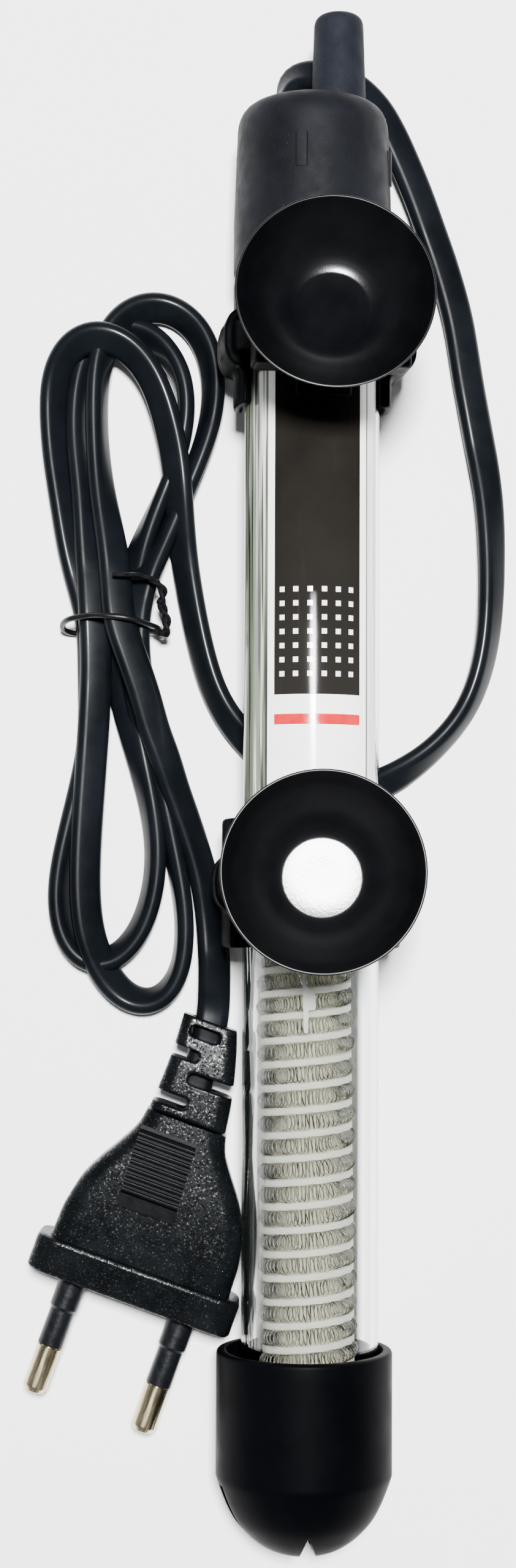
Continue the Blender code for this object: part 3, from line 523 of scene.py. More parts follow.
BOTTOM_LOOP_B = (
    (-36.6, 17.3, 4.7, 14), (-37.0, 7.4, 4.3, 20), (-37.6, -2.5, 4.2, 20), (-38.2, -12.4, 4.2, 20),
    (-38.2, -22.3, 4.1, 22), (-37.1, -28.7, 3.7, 24), (-35.1, -33.2, 2.6, 28), (-32.2, -37.1, 1.5, 36),
    (-28.5, -39.0, 1.4, 48), (-25.0, -37.7, 1.4, 62), (-22.6, -34.0, 1.4, 74), (-21.7, -29.2, 1.4, 78),
    (-21.8, -22.3, 1.4, 78), (-22.9, -16.4, 1.4, 76), (-24.4, -9.5, 1.5, 72), (-26.2, -2.5, 1.8, 62),
    (-27.9, 4.5, 2.6, 46), (-29.3, 12.4, 3.8, 24), (-30.2, 19.0, 4.7, 6), (-30.5, 25.2, 5.1, 0),
)
TOP_LOOP_C = (
    (-29.6, 30.5, 4.4, 18), (-28.2, 34.5, 3.4, 44), (-25.9, 38.1, 1.9, 66), (-23.0, 45.0, 1.4, 72),
    (-20.4, 51.5, 1.4, 70), (-18.1, 57.9, 1.4, 66), (-17.2, 63.8, 1.4, 62), (-17.6, 69.3, 1.4, 58),
    (-19.0, 73.7, 1.4, 50), (-21.8, 77.3, 1.4, 42), (-25.7, 79.2, 1.6, 36), (-29.2, 79.1, 2.4, 34),
    (-32.7, 76.7, 3.8, 38), (-35.6, 72.5, 4.2, 52), (-36.8, 66.0, 4.2, 68), (-36.8, 57.0, 4.4, 70),
    (-35.8, 47.0, 5.2, 56), (-33.8, 37.0, 6.7, 30), (-33.2, 31.0, 7.5, 8), (-32.8, 25.2, 7.9, 0),
)
TAIL_ROUTE = (
    (-30.9, 20.0, 7.6, 6), (-28.6, 13.5, 6.9, 14), (-26.9, 7.4, 5.9, 22), (-25.0, 2.5, 5.0, 28),
    (-23.4, -2.5, 3.8, 34), (-20.6, -10.4, 2.3, 40), (-18.6, -17.3, 1.5, 40), (-17.4, -24.3, 1.4, 32),
    (-16.8, -30.6, 2.8, 14), (-16.7, -35.8, 5.0, 2), (-16.9, -39.9, 6.8, 0), (-17.6, -43.5, 6.95, 0),
    (-18.7, -48.0, 6.95, 0), (-20.1, -53.5, 6.95, 0),
)
FREE_HEIGHT = 6.0
CORD_STEP = 0.9
CORD_LEAN = 15.0
CORD_LOOPS = (TOP_LOOP_A, BOTTOM_LOOP_A, TOP_LOOP_B, BOTTOM_LOOP_B, TOP_LOOP_C)


def cord_line():
    """The cord's middle as rows of x, y, height and roll."""
    route = [*LEAD_ROUTE, *(p for loop in CORD_LOOPS for p in loop), *TAIL_ROUTE]
    line = eased(smooth_line(route, CORD_STEP), 4, len(LEAD_ROUTE))
    to_end = np.arange(len(line))[::-1]
    line[:, 3] = np.maximum(line[:, 3], CORD_LEAN * np.clip(to_end / 16 - 0.5, 0, 1))
    on_edge = (CORD_WIDTH - CORD_THICK) / 2 * np.abs(np.sin(np.radians(line[:, 3])))
    free = np.clip((line[:, 2] - CORD_THICK / 2) / FREE_HEIGHT, 0, 1)
    line[:, 2] += on_edge * (1 - free)
    return line


def eased(line, reach, still):
    """Rounds off a line's pointed bends, but leaves its first and last stretch."""
    offsets = np.arange(-3 * reach, 3 * reach + 1)
    weights = np.exp(-((offsets / reach) ** 2) / 2)
    weights /= weights.sum()
    padded = np.pad(line, ((3 * reach, 3 * reach), (0, 0)), mode="edge")
    soft = sum(w * padded[i : i + len(line)] for i, w in enumerate(weights))
    place = np.arange(len(line))
    from_end = np.minimum(place, len(line) - 1 - place)
    share = np.clip((from_end - still) / (2 * still), 0, 1)[:, None]
    return line * (1 - share) + soft * share


def make_cord():
    """The whole mains cord as one piece, from the gland to the plug's relief."""
    mat = cord_material()
    line = cord_line()
    section = stadium(CORD_WIDTH, CORD_THICK)
    cord = sweep("mains_cord", line[:, :3], section, mat, rolls=line[:, 3])
    fasten(cord, "cord_pvc", "cord_lead", "cord_hank", "cord_tail")


def cord_material():
    """Soft PVC with a cool tint and a satin skin that is glossier in places."""
    mat, tree, shader = new_material("cord_pvc")
    where = coordinates(tree)
    dark, light = (0.0015, 0.0021, 0.003), (0.0036, 0.0047, 0.0062)
    looks = {
        "Base Color": mottled(tree, noise(tree, where, 14.0), dark, light),
        "Roughness": uneven(tree, noise(tree, where, 3.0), 0.3, 0.4),
        "Specular IOR Level": 0.05,
        "Coat Weight": spread(tree, noise(tree, where, 26.0, detail=1.0), 0.48, 0.62, 0.0, 0.13),
        "Coat Roughness": 0.15,
    }
    feed(tree, shader, looks)
    bump(tree, shader, noise(tree, where, 0.5), 0.006)
    return mat


def make_tie():
    """A plastic-coated wire round the hank's waist, its ends twisted together."""
    mat = moulded(
        "tie_wire", (0.001, 0.0011, 0.0015), (0.0025, 0.0027, 0.0035), (0.3, 0.42), 3.0, specular=0.25
    )
    ring_radius, strand_radius, apart, twist_step = 0.5, 0.4, 0.42, 0.55
    ring = (
        (-30.0, 24.4, 0.55), (-35.0, 24.0, 0.55), (-39.6, 23.6, 0.7), (-42.0, 24.0, 2.2),
        (-42.2, 24.8, 4.6), (-40.8, 25.4, 7.0), (-37.6, 25.8, 8.3), (-34.6, 25.6, 9.9),
        (-31.0, 25.2, 9.9), (-28.4, 24.6, 8.0), (-26.6, 24.2, 5.6), (-26.0, 24.0, 3.2),
        (-26.9, 24.3, 1.2), (-29.6, 24.6, 0.55),
    )
    ends = (
        ((-26.6, 23.9, 5.6), (-25.2, 22.8, 6.2), (-24.9, 25.4, 6.6), (-25.8, 28.0, 7.2)),
        ((-25.8, 28.0, 7.2), (-25.6, 30.4, 7.8), (-28.4, 32.2, 9.2), (-33.2, 32.4, 10.0)),
    )
    tie = sweep("cord_tie_ring", smooth_line(ring, 0.5), circle(ring_radius), mat)
    fasten(tie, "tie_wire", "cord_tie")
    for i, route in enumerate(ends):
        line = smooth_line(route, 0.4)
        for side in (0, 1):
            turn = np.arange(len(line)) * twist_step + side * math.pi
            offset = np.stack([np.cos(turn), np.zeros(len(line)), np.sin(turn)], axis=1)
            strand = line + apart * offset
            twist = sweep(f"cord_tie_end_{2 * i + side}", strand, circle(strand_radius, 8), mat)
            fasten(twist, "tie_wire")


# ---- glass and label ----


def glass_material():
    """Clear glass with faint drawn lines, and grey-green streaks painted at its sides: painted refraction,
    dark and pale bands where the tube's edges bend the light.
    """
    mat, tree, shader = new_material("clear_glass")
    where = coordinates(tree, (1, 1, 12))
    drawn = noise(tree, where, 2.5)
    colour = blend_colours(tree, drawn, (0.96, 0.985, 0.975), (0.985, 0.995, 0.99))
    # Painted refraction: dark and pale streaks blended into the glass's colour near its left and right sides.
    painted_refraction_streaks = noise(tree, coordinates(tree, (1, 1, 50)), 0.8, detail=2.0)
    edge = blend_colours(tree, spread(tree, painted_refraction_streaks, 0.35, 0.6), (0.2, 0.23, 0.18), (0.86, 0.9, 0.84))
    across = one_axis(tree, coordinates(tree), "X")
    colour = blend_colours(tree, spread(tree, across, -8.6, -9.6, 0.0, 0.85), colour, edge)
    colour = blend_colours(tree, spread(tree, across, 10.0, 10.9, 0.0, 0.5), colour, edge)
    looks = {
        "Base Color": colour,
        "Roughness": spread(tree, noise(tree, where, 6.0), 0.45, 0.75, 0.0, 0.03),
        "Transmission Weight": 1.0,
        "IOR": 1.47,
    }
    feed(tree, shader, looks)
    bump(tree, shader, drawn, 0.01)
    return mat


def make_glass():
    """A tube with a round blind end at the foot and a rounded lip at the top."""
    outer, inner = [], []
    for k in range(DOME_STEPS + 1):
        a = math.pi / 2 * k / DOME_STEPS
        outer.append((GLASS_RADIUS * math.cos(a), GLASS_DOME - GLASS_RADIUS * math.sin(a)))
        inner.append((GLASS_BORE * math.cos(a), GLASS_DOME - GLASS_BORE * math.sin(a)))
    wall, below = (GLASS_RADIUS - GLASS_BORE) / 2, GLASS_TOP - 4
    lip = ((GLASS_BORE, below, 0), (GLASS_BORE, GLASS_TOP, wall))
    lip += ((GLASS_RADIUS, GLASS_TOP, wall), (GLASS_RADIUS, below, 0))
    profile = outer + inner[::-1] + rounded(lip)
    sleeve = lathe("glass_sleeve", profile, glass_material(), tube_place(), 160)
    fasten(sleeve, "clear_glass", "glass_tube")


def wrap(angle, radius, along):
    a = math.radians(angle)
    return (radius * math.sin(a), -radius * math.cos(a), along)


def film(name, mat, patches, inner, thick, step=3.0):
    """Closed pieces of film, each a strip of columns across the tube."""
    verts, faces = [], []
    for left, right, foot, top in patches:
        columns = max(2, math.ceil((right - left) / step))
        base = len(verts)
        for i in range(columns + 1):
            angle = left + (right - left) * i / columns
            for radius in (inner, inner + thick):
                for along in (foot, top):
                    verts.append(wrap(angle, radius, along))
        for i in range(columns):
            a, b = base + 4 * i, base + 4 * (i + 1)
            faces += [
                [a, b, b + 1, a + 1],
                [a + 2, a + 3, b + 3, b + 2],
                [a, a + 2, b + 2, b],
                [a + 1, b + 1, b + 3, a + 3],
            ]
        last = base + 4 * columns
        faces += [[base, base + 1, base + 3, base + 2], [last, last + 2, last + 3, last + 1]]
    return new_object(name, verts, faces, mat, tube_place(), smooth=30.0)


def make_label():
    """Films one over another: the sheet, dark lines and painted refraction bands at its sides, and its print.
    """
    white = moulded(
        "label_white", (0.84, 0.84, 0.83), (0.9, 0.9, 0.89), (0.1, 0.14), 9.0, 0.5, 0.003, specular=0.35
    )
    red = moulded("label_red", (0.42, 0.009, 0.014), (0.52, 0.018, 0.024), (0.12, 0.18), 3.0, 0.3, 0.003)
    # Dark lines laid just outside the label's two edges.
    dim = moulded(
        "label_edge_lines", (0.01, 0.012, 0.008), (0.1, 0.11, 0.08), (0.2, 0.3), 1.5, 0.3, 0.003, stretch=(1, 1, 30)
    )
    ends = (LABEL_FOOT, LABEL_TOP)
    sheet = film("label_sheet", white, [(LABEL_LEFT, LABEL_RIGHT, *ends)], LABEL_RADIUS, LABEL_THICK)
    fasten(sheet, "printed_film", "label_film")
    panel = [(PANEL_LEFT, PANEL_RIGHT, PANEL_FOOT, LABEL_TOP - 0.4)]
    edge_line_strips = [(LABEL_LEFT - 2.3, LABEL_LEFT - 0.6, *ends), (LABEL_RIGHT + 1.0, LABEL_RIGHT + 2.1, *ends)]
    side_band_strips = [(SIDE_BANDS_LEFT, LABEL_LEFT - 2.6, *ends), (LABEL_RIGHT + 2.4, SIDE_BANDS_RIGHT, *ends)]
    marks = []
    for column in range(MARK_COLUMNS):
        middle = MARK_LEFT + MARK_PITCH * column
        for row in range(MARK_ROWS):
            along = MARK_TOP - MARK_DROP * row
            marks.append((middle - MARK_WIDE, middle + MARK_WIDE, along - MARK_TALL, along + MARK_TALL))
    bar = [(PANEL_LEFT, PANEL_RIGHT, *BAR_ENDS)]
    top = LABEL_RADIUS + LABEL_THICK
    layers = (
        ("label_panel", label_panel_material(), panel, top, PAINT_THICK),
        ("label_edge_lines", dim, edge_line_strips, LABEL_RADIUS, BAND_FILM_THICK),
        ("painted_side_bands", side_bands_material(), side_band_strips, LABEL_RADIUS, BAND_FILM_THICK),
        ("label_marks", white, marks, top + PAINT_THICK, PAINT_THICK, 2.0),
        ("label_bar", red, bar, top, PAINT_THICK),
    )
    for layer in layers:
        fasten(film(*layer), "printed_film")


def side_bands_material():
    """Painted refraction bands beside the label: green-grey, streaked along the tube, and painted paler
    towards the tube's right side, a painted lighting difference.
    """
    mat, tree, shader = new_material("painted_side_bands")
    where = coordinates(tree, (1, 1, 50))
    streak = noise(tree, where, 1.5, detail=2.0)
    line = noise(tree, where, 0.5, detail=1.0)
    # Painted refraction: pale and dark streaks and thin dark lines along the tube stand in for the bands the
    # glass shows at its sides.
    colour = blend_colours(tree, spread(tree, streak, 0.5, 0.72), (0.1, 0.12, 0.085), (0.84, 0.87, 0.81))
    colour = blend_colours(tree, spread(tree, line, 0.53, 0.6), colour, (0.012, 0.014, 0.01))
    across = one_axis(tree, coordinates(tree), "X")
    # Painted side light: the bands are made paler towards the tube's right side.
    colour = blend_colours(tree, spread(tree, across, -7.0, 8.6, 0.0, 0.62), colour, (0.9, 0.91, 0.89))
    feed(tree, shader, {"Base Color": colour, "Roughness": 0.16})
    bump(tree, shader, line, 0.01)
    return mat


def label_panel_material():
    """Dark print with a brown-grey cast, lighter and glossier towards its foot."""
    mat, tree, shader = new_material("label_dark")
    where = coordinates(tree)
    along = one_axis(tree, where, "Z")
    cloud = noise(tree, where, 10.0)
    colour = mottled(tree, cloud, (0.0055, 0.0048, 0.0041), (0.009, 0.0078, 0.0064))
    pale = blend_colours(tree, spread(tree, along, 60.0, 12.0), colour, (0.0125, 0.0115, 0.0102))
    scratch = noise(tree, coordinates(tree, (1, 1, 30)), 0.7)
    worn = spread(tree, scratch, 0.62, 0.8, 0.0, 0.35)
    looks = {
        "Base Color": blend_colours(tree, worn, pale, (0.03, 0.028, 0.025)),
        "Roughness": uneven(tree, cloud, 0.09, 0.14),
        "Specular IOR Level": spread(tree, along, 28.0, 17.0, 0.0, 0.14),
    }
    feed(tree, shader, looks)
    bump(tree, shader, noise(tree, where, 0.4), 0.003)
    return mat


# ---- head, knob and gland ----


def make_head():
    """A rubber cap with four short ribs, and holes for the knob and the cord."""
    mat = moulded(
        "head_rubber", (0.0023, 0.0026, 0.0039), (0.0043, 0.0048, 0.0068), (0.5, 0.66), 8.0, 0.3, 0.012,
        fleck=(0.02, (0.014, 0.0148, 0.018)), specular=0.07,
    )
    profile = rounded(
        (
            (HEAD_BORE, HEAD_FOOT, 0.0), (HEAD_RADIUS, HEAD_FOOT, 0.5), (HEAD_RADIUS, 90.0, 3.0),
            (HEAD_RADIUS - 0.7, HEAD_TOP, 4.8), (0, HEAD_TOP, 0.0), (0, 103.0, 0.0),
            (GLASS_BORE, 103.0, 0.5), (GLASS_BORE, 95.1, 0.0), (HEAD_BORE, 95.1, 0.3),
            (HEAD_BORE, HEAD_FOOT + 0.01, 0.0),
        ),
        steps=8,
    )
    head = lathe("head_housing", profile, mat, tube_place(), 128)
    ribs = []
    for i, (angle, reach) in enumerate(HEAD_RIBS):
        ribs.append(rib_grip(f"rib_{i}", mat, tube_place(turn=angle), reach))
    combine(head, ribs, "UNION")
    outlet = tube_place(right=OUTLET_X, height=OUTLET_H)
    holes = [
        lathe("hole_a", [(0, 102), (1.9, 102), (1.9, 111), (0, 111)], mat, tube_place(right=KNOB_X), 32),
        prism("hole_b", tall_slot(5.2, 7.8), 102, 111, mat, outlet),
    ]
    combine(head, holes, "DIFFERENCE")
    crease(head.data, 32)
    fasten(head, "head_rubber", "head_cap")


def rib_grip(name, mat, place, reach):
    """A small raised bar on the side of the head, rounded on top."""
    half, root = 1.0, -10.8
    corners = ((-half, root, 0), (-half, -reach, 0.35), (half, -reach, 0.35), (half, root, 0))
    return prism(name, rounded(corners, steps=4), 95.6, 101.1, mat, place)


def tall_slot(width, height):
    """A slot with round ends, its long side along local Y."""
    return [(y, x) for x, y in reversed(stadium(height, width, 10))]


def make_gland():
    """The flanged bush where the cord leaves the head."""
    mat = moulded(
        "gland_rubber", (0.001, 0.001, 0.0015), (0.002, 0.002, 0.003), (0.45, 0.6), 4.0, specular=0.1
    )
    place = tube_place(right=OUTLET_X, height=OUTLET_H)
    gland = prism("cord_bush", tall_slot(5.8, 8.4), 109.5, 111.0, mat, place)
    stem = prism("stem", tall_slot(4.6, 7.2), 103.0, 110.2, mat, place)
    combine(gland, [stem], "UNION")
    hole = prism("hole", tall_slot(3.2, 5.8), 102.0, 112.0, mat, place)
    combine(gland, [hole], "DIFFERENCE")
    bevel(gland, 3, 30)
    crease(gland.data, 40)
    fasten(gland, "gland_rubber", "cord_gland")


def make_knob():
    """A plain tapered rubber stalk over the spindle."""
    mat = moulded(
        "knob_rubber", (0.0045, 0.0053, 0.0082), (0.0074, 0.0085, 0.0122), (0.6, 0.75), 5.0, 0.25, 0.015,
        fleck=(0.03, (0.02, 0.022, 0.028)), specular=0.07,
    )
    profile = rounded(
        (
            (1.8, 109.5, 0.0), (4.5, 109.5, 0.4), (4.0, KNOB_TOP, 2.9), (0, KNOB_TOP, 0.0),
            (0, 120.0, 0.0), (1.8, 120.0, 0.0),
        ),
        steps=10,
    )
    knob = lathe("adjuster_knob", profile, mat, tube_place(right=KNOB_X), 96)
    fasten(knob, "knob_rubber", "temperature_knob", body="knob")


# ---- guard ----


def make_guard():
    """A round-ended cup over the glass's foot, slotted from side to side and notched."""
    mat = moulded(
        "guard_plastic", (0.0004, 0.0005, 0.0008), (0.0009, 0.001, 0.0015), (0.4, 0.5), 14.0, 0.5, 0.003,
        specular=0.018,
    )
    bore, drop = GUARD_RADIUS - GUARD_WALL, GUARD_DOME - GUARD_FOOT
    shape = (
        (GUARD_RADIUS, 0.5), (13.6, 2.0), (12.45, 4.9), (11.15, 7.3), (9.55, 9.2), (8.0, 10.6),
        (6.0, 11.9), (3.6, 12.75), (1.5, 13.05),
    )
    curve = smooth_line([(r, GUARD_DOME - down, 0.0) for r, down in shape], 0.7)
    outer = [(GUARD_RADIUS, GUARD_DOME)] + [(r, h) for r, h, _ in curve] + [(0.0, GUARD_FOOT)]
    inner = []
    for k in range(GUARD_STEPS + 1):
        a = math.pi / 2 * k / GUARD_STEPS
        inner.append((bore * math.cos(a), GUARD_DOME - (drop - GUARD_WALL) * math.sin(a)))
    collar = [(12.0, GUARD_DOME + 1.0), (12.0, GUARD_DOME + 2.4), (bore, GUARD_DOME + 3.0)]
    rim = rounded(
        (
            (bore, GUARD_TOP - 3, 0), (bore, GUARD_TOP, 0.5), (GUARD_RADIUS, GUARD_TOP, 0.7),
            (GUARD_RADIUS, GUARD_TOP - 3, 0),
        )
    )
    guard = lathe("foot_guard", outer + inner[::-1] + collar + rim, mat, tube_place(right=GUARD_SHIFT), 128)
    crosswise = tube_place(right=GUARD_SHIFT, turn=GUARD_TURN)
    slot = block("slot", (-20, -1.1, GUARD_FOOT - 2), (20, 1.1, GUARD_DOME - 1.6), mat, crosswise)
    wedge = [(-1.4, -2.0), (2.6, -2.0), (0.75, 1.9), (0.45, 1.9)]
    ahead = tube_place(GUARD_FOOT, right=GUARD_SHIFT) @ turned_by(SIGHT_TILT, "X")
    notch = prism("notch", wedge, -20, 20, mat, ahead)
    combine(guard, [slot, notch], "DIFFERENCE")
    bevel(guard, 2, 50)
    crease(guard.data, 35)
    fasten(guard, "guard_plastic", "bottom_guard")


# ---- clips and suction cups ----


def joint(name):
    return next(j for j in frame["joints"] if j["name"] == name)


def clip_ear(name, root, tip, ends, mat, place):
    """A lug at the clip's side, round as seen from above."""
    steps = 24
    middle, half = (ends[0] + ends[1]) / 2, (ends[1] - ends[0]) / 2
    outline = []
    for i in range(steps + 1):
        angle = math.pi * (i / steps - 0.5)
        out = max(math.cos(angle), 0.0) ** EAR_ROUND
        side = math.copysign(abs(math.sin(angle)) ** EAR_ROUND, angle)
        outline.append((root + (tip - root) * out, middle + half * side))
    if tip < root:
        outline.reverse()
    return prism(name, outline, -5.0, 6.5, mat, place @ turned_by(90, "X"))


def make_clip(side):
    """A hoop round the tube with three fingers, two ears and the cup's socket."""
    mat = moulded(
        f"{side}_clip_plastic", (0.0008, 0.0009, 0.0013), (0.0016, 0.0018, 0.0025), (0.36, 0.5),
        6.0, 0.4, 0.008, specular=0.015,
    )
    turn = CLIP_TURN[side]
    along = joint(f"{side}_cup_swivel")["pos_m"][1] / MM
    place = tube_place(along, turn=turn)
    hoop = prism(f"{side}_hoop_clip", sector(12.3, 15.2, -115, 115, 80), -2.5, 2.5, mat, place)
    parts = []
    for i, middle in enumerate((-88.0, 0.0, 88.0)):
        outline = sector(FINGER_BORE, FINGER_REACH[side], middle - FINGER_ARC, middle + FINGER_ARC, 24)
        parts.append(prism(f"finger_{i}", outline, -FINGER_HALF, FINGER_HALF, mat, place))
    parts.append(block("boss", (-12.0, -19.3, -7), (13.0, -12.6, 7), mat, place, edge=1.4))
    parts.append(clip_ear("ear_left", -11.9, -LEFT_EAR_REACH[side], (-4.8, 4.8), mat, place))
    parts.append(clip_ear("ear_right", 11.9, 16.3, (-5.2, 4.0), mat, place))
    combine(hoop, parts, "UNION")
    upright = at(TUBE_X, along, AXIS_Z) @ turned_by(turn, "Y")
    holes = [
        lathe("pocket", [(0, 14.3), (5.2, 14.3), (5.2, 16.9), (0, 16.9)], mat, upright, 48),
        lathe("neck", [(0, 16.4), (3.7, 16.4), (3.7, 21), (0, 21)], mat, upright, 48),
    ]
    combine(hoop, holes, "DIFFERENCE")
    soften(hoop, 0.32, 12)
    fasten(hoop, "clip_plastic", f"{side}_clip", body=f"{side}_clip_body")


def make_cup(side):
    """A bowl on a neck, whose button turns in the clip's socket. Heights are from the tube's axis."""
    mat = cup_material(f"{side}_cup_rubber")
    swivel = joint(f"{side}_cup_swivel")
    axis = Vector(swivel["axis"]).normalized()
    aim = axis.to_track_quat("Z", "Y").to_matrix().to_4x4()
    place = at(0, CUP_SET[side], 0) @ Matrix.Translation(swivel["pos_m"]) @ aim
    outside = ((5.2, 20.3), (8.0, 21.0), (11.2, 23.6), (13.9, 27.2), (15.35, 29.6))
    inside = ((14.85, 29.7), (13.2, 27.2), (10.8, 24.4), (8.9, 22.85), (7.4, 22.12), (6.3, 21.83))
    back = smooth_line(outside, 0.45)
    bowl = smooth_line(inside, 0.45)
    lip = rounded(((15.35, 29.6, 0), (15.62, 30.25, 0.2), (15.2, 30.3, 0.2), (14.85, 29.7, 0)), steps=4)
    button = (
        (0, 14.85, 0), (4.2, 14.85, 0.3), (4.2, 15.6, 0.3),
        (2.9, 16.3, 0.4), (2.9, 20.3, 0.5), (5.2, 20.3, 0),
    )
    disc = [(6.0, 21.8), (3.0, 21.8), (0, 21.8)]
    line = [*rounded(button, steps=4)[:-1], *back[:-1], *lip[:-1], *bowl, *disc]
    profile = [(r * CUP_SPREAD[side], h - SWIVEL_HEIGHT) for r, h in line]
    cup = lathe(f"{side}_sucker", profile, mat, place, 144, smooth=50.0)
    fasten(cup, "cup_rubber", f"{side}_suction_cup", body=f"{side}_cup_body")


def cup_material(name):
    """Soft black rubber, its flat middle polished and its slopes slightly dull."""
    mat, tree, shader = new_material(name)
    where = coordinates(tree)
    dark, light = (0.0006, 0.0007, 0.0011), (0.0014, 0.0015, 0.002)
    looks = {
        "Base Color": mottled(tree, noise(tree, where, 5.0), dark, light),
        "Roughness": spread(tree, radius_of(tree, where), 5.8, 9.0, 0.13, 0.32),
        "Specular IOR Level": 0.2,
    }
    feed(tree, shader, looks)
    bump(tree, shader, noise(tree, where, 0.45), 0.008)
    return mat


# ---- heating element ----


def element_place():
    """The element stands a little askew in its tube."""
    foot = (TUBE_X, COIL_FOOT, AXIS_Z)
    return at(*foot) @ turned_by(COIL_LEAN, "Z") @ at(*(-c for c in foot))


def ridge_radius(angle, height):
    """How far the former reaches: out to its ridge, or down in the spring's groove."""
    core, top, half_width, run_out = 5.15, 7.35, 0.6, 1.5
    phase = ((COIL_TOP - height) / COIL_PITCH + angle / (2 * math.pi)) % 1.0
    off = abs(phase - 0.5) * COIL_PITCH
    below = max(0.0, (height - COIL_FOOT + run_out) / run_out)
    above = max(0.0, (COIL_TOP + run_out - height) / run_out)
    rise = max(0.0, min(1.0, (half_width + 0.35 - off) / 0.45))
    return core + (top - core) * rise * rise * (3 - 2 * rise) * min(1.0, below, above)


def make_former():
    """A ceramic tube with a screw-shaped ridge that keeps the spring's turns apart."""
    segments = 72
    angles = [2 * math.pi * k / segments for k in range(segments)]
    foot, top = -107.2, -26.7
    steps = int((top - foot) / 0.25)
    flange, bore = 8.7, 1.8
    below = [(bore, -109.0), (flange - 0.2, -109.0), (flange, -108.8), (flange, -107.4), (flange - 0.2, foot)]
    above = [(flange - 0.2, top), (flange, -26.5), (flange, -24.7), (flange - 0.2, -24.5), (bore, -24.5)]
    levels = [([r] * segments, h) for r, h in below]
    for i in range(steps + 1):
        h = foot + (top - foot) * i / steps
        levels.append(([ridge_radius(a, h) for a in angles], h))
    levels += [([r] * segments, h) for r, h in [*above, below[0]]]
    rings = [[(r * math.cos(a), r * math.sin(a), h) for r, a in zip(radii, angles)] for radii, h in levels]
    place = element_place() @ tube_place()
    former = ringed(
        "ridged_former", np.array(rings)[:, ::-1], former_material(), caps=False, place=place, smooth=50.0
    )
    weld(former)
    fasten(former, "ceramic", "ceramic_former")


def make_end_tab():
    """The pale end tab of the element, folded over its first turns."""
    mat = moulded("tab_ceramic", (0.86, 0.85, 0.8), (0.93, 0.92, 0.88), (0.4, 0.5), 1.5, 0.2, 0.01)
    corners = (
        (-2.5, -30.0), (-2.2, -41.9), (-1.5, -41.9), (-1.5, -38.4),
        (-0.4, -38.2), (-0.4, -36.0), (-2.0, -34.3), (-1.9, -30.0),
    )
    outline = rounded([(x, y, 0.1) for x, y in corners], closed=True, steps=3)
    fasten(prism("element_tab", outline, 22.3, 22.9, mat), "ceramic")


def former_material():
    """Cream ceramic, yellower down in its groove."""
    mat, tree, shader = new_material("former_ceramic")
    where = coordinates(tree)
    cloud = noise(tree, where, 2.5)
    deep = blend_colours(tree, cloud, (0.88, 0.85, 0.6), (0.95, 0.93, 0.78))
    crest = blend_colours(tree, cloud, (0.84, 0.82, 0.72), (0.9, 0.89, 0.82))
    height = spread(tree, radius_of(tree, where), 6.0, 6.9)
    colour = blend_colours(tree, height, deep, crest)
    feed(tree, shader, {"Base Color": colour, "Roughness": uneven(tree, cloud, 0.5, 0.7)})
    bump(tree, shader, noise(tree, where, 0.4), 0.02)
    return mat


def weld(piece):
    """Makes one point of points that lie in the same place."""
    merge = piece.modifiers.new("weld", "WELD")
    merge.merge_threshold = 0.001 * MM
    settle(piece)


def make_spring():
    """The resistance wire: a fine spring wound round the former in its groove."""
    mat = spring_material()
    turns = (COIL_TOP - COIL_FOOT) / COIL_PITCH
    length = turns * math.hypot(2 * math.pi * COIL_RADIUS, COIL_PITCH)
    windings = length / WINDING_PITCH
    count = int(windings * POINTS_PER_WINDING)
    s = np.arange(count + 1) / count
    angle = 2 * math.pi * turns * s
    bunch = 0.5 * np.sin(angle * 0.5 + 0.7) + 0.35 * np.sin(angle * 1.31) + 0.2 * np.sin(angle * 2.9 + 1.0)
    turn = 2 * math.pi * windings * s + 2.2 * bunch
    radial = np.stack([np.cos(angle), np.zeros_like(angle), np.sin(angle)], axis=1)
    centre = COIL_RADIUS * radial
    centre[:, 0] += TUBE_X
    centre[:, 1] = COIL_TOP - COIL_PITCH * angle / (2 * math.pi)
    centre[:, 2] += AXIS_Z
    tangent = np.gradient(centre, axis=0)
    tangent /= np.linalg.norm(tangent, axis=1)[:, None]
    binormal = np.cross(tangent, radial)
    reach = (SPRING_RADIUS - WIRE_RADIUS + 0.05 * np.sin(angle * 7.3))[:, None]
    line = centre + reach * (np.cos(turn)[:, None] * radial + np.sin(turn)[:, None] * binormal)
    outward = (line - centre) / np.linalg.norm(line - centre, axis=1)[:, None]
    run = np.gradient(line, axis=0)
    run /= np.linalg.norm(run, axis=1)[:, None]
    out, side = WIRE_RADIUS * outward, WIRE_RADIUS * np.cross(run, outward)
    rings = np.stack([line + out, line + side, line - out, line - side], axis=1)
    spring = ringed("element_spring", rings, mat, place=element_place(), smooth=80.0)
    fasten(spring, "resistance_wire", "heating_coil")


def spring_material():
    """Resistance wire, dull and dark in places."""
    mat, tree, shader = new_material("resistance_wire")
    tone = spread(tree, noise(tree, coordinates(tree), 2.2), 0.35, 0.65)
    looks = {
        "Base Color": blend_colours(tree, tone, (0.035, 0.033, 0.026), (0.72, 0.7, 0.62)),
        "Metallic": 0.85,
        "Roughness": spread(tree, tone, 0.0, 1.0, 0.4, 0.25),
    }
    feed(tree, shader, looks)
    return mat


# ---- plug ----


def plug_place():
    return at(*PLUG_PLACE) @ turned_by(PLUG_TURN, "Z")


def round_box(half_width, half_height, corner):
    sides = ((1, -1), (1, 1), (-1, 1), (-1, -1))
    return rounded([(x * half_width, y * half_height, corner) for x, y in sides], closed=True, steps=8)


def loft(name, stations, mat, place):
    """Rings of (along, half width, half height, corner, shift) joined into a skin."""
    rings = []
    for y, width, height, corner, shift in stations:
        rings.append([(x + shift, y, z) for x, z in round_box(width, height, corner)])
    return ringed(name, np.array(rings), mat, place=place, smooth=35.0)


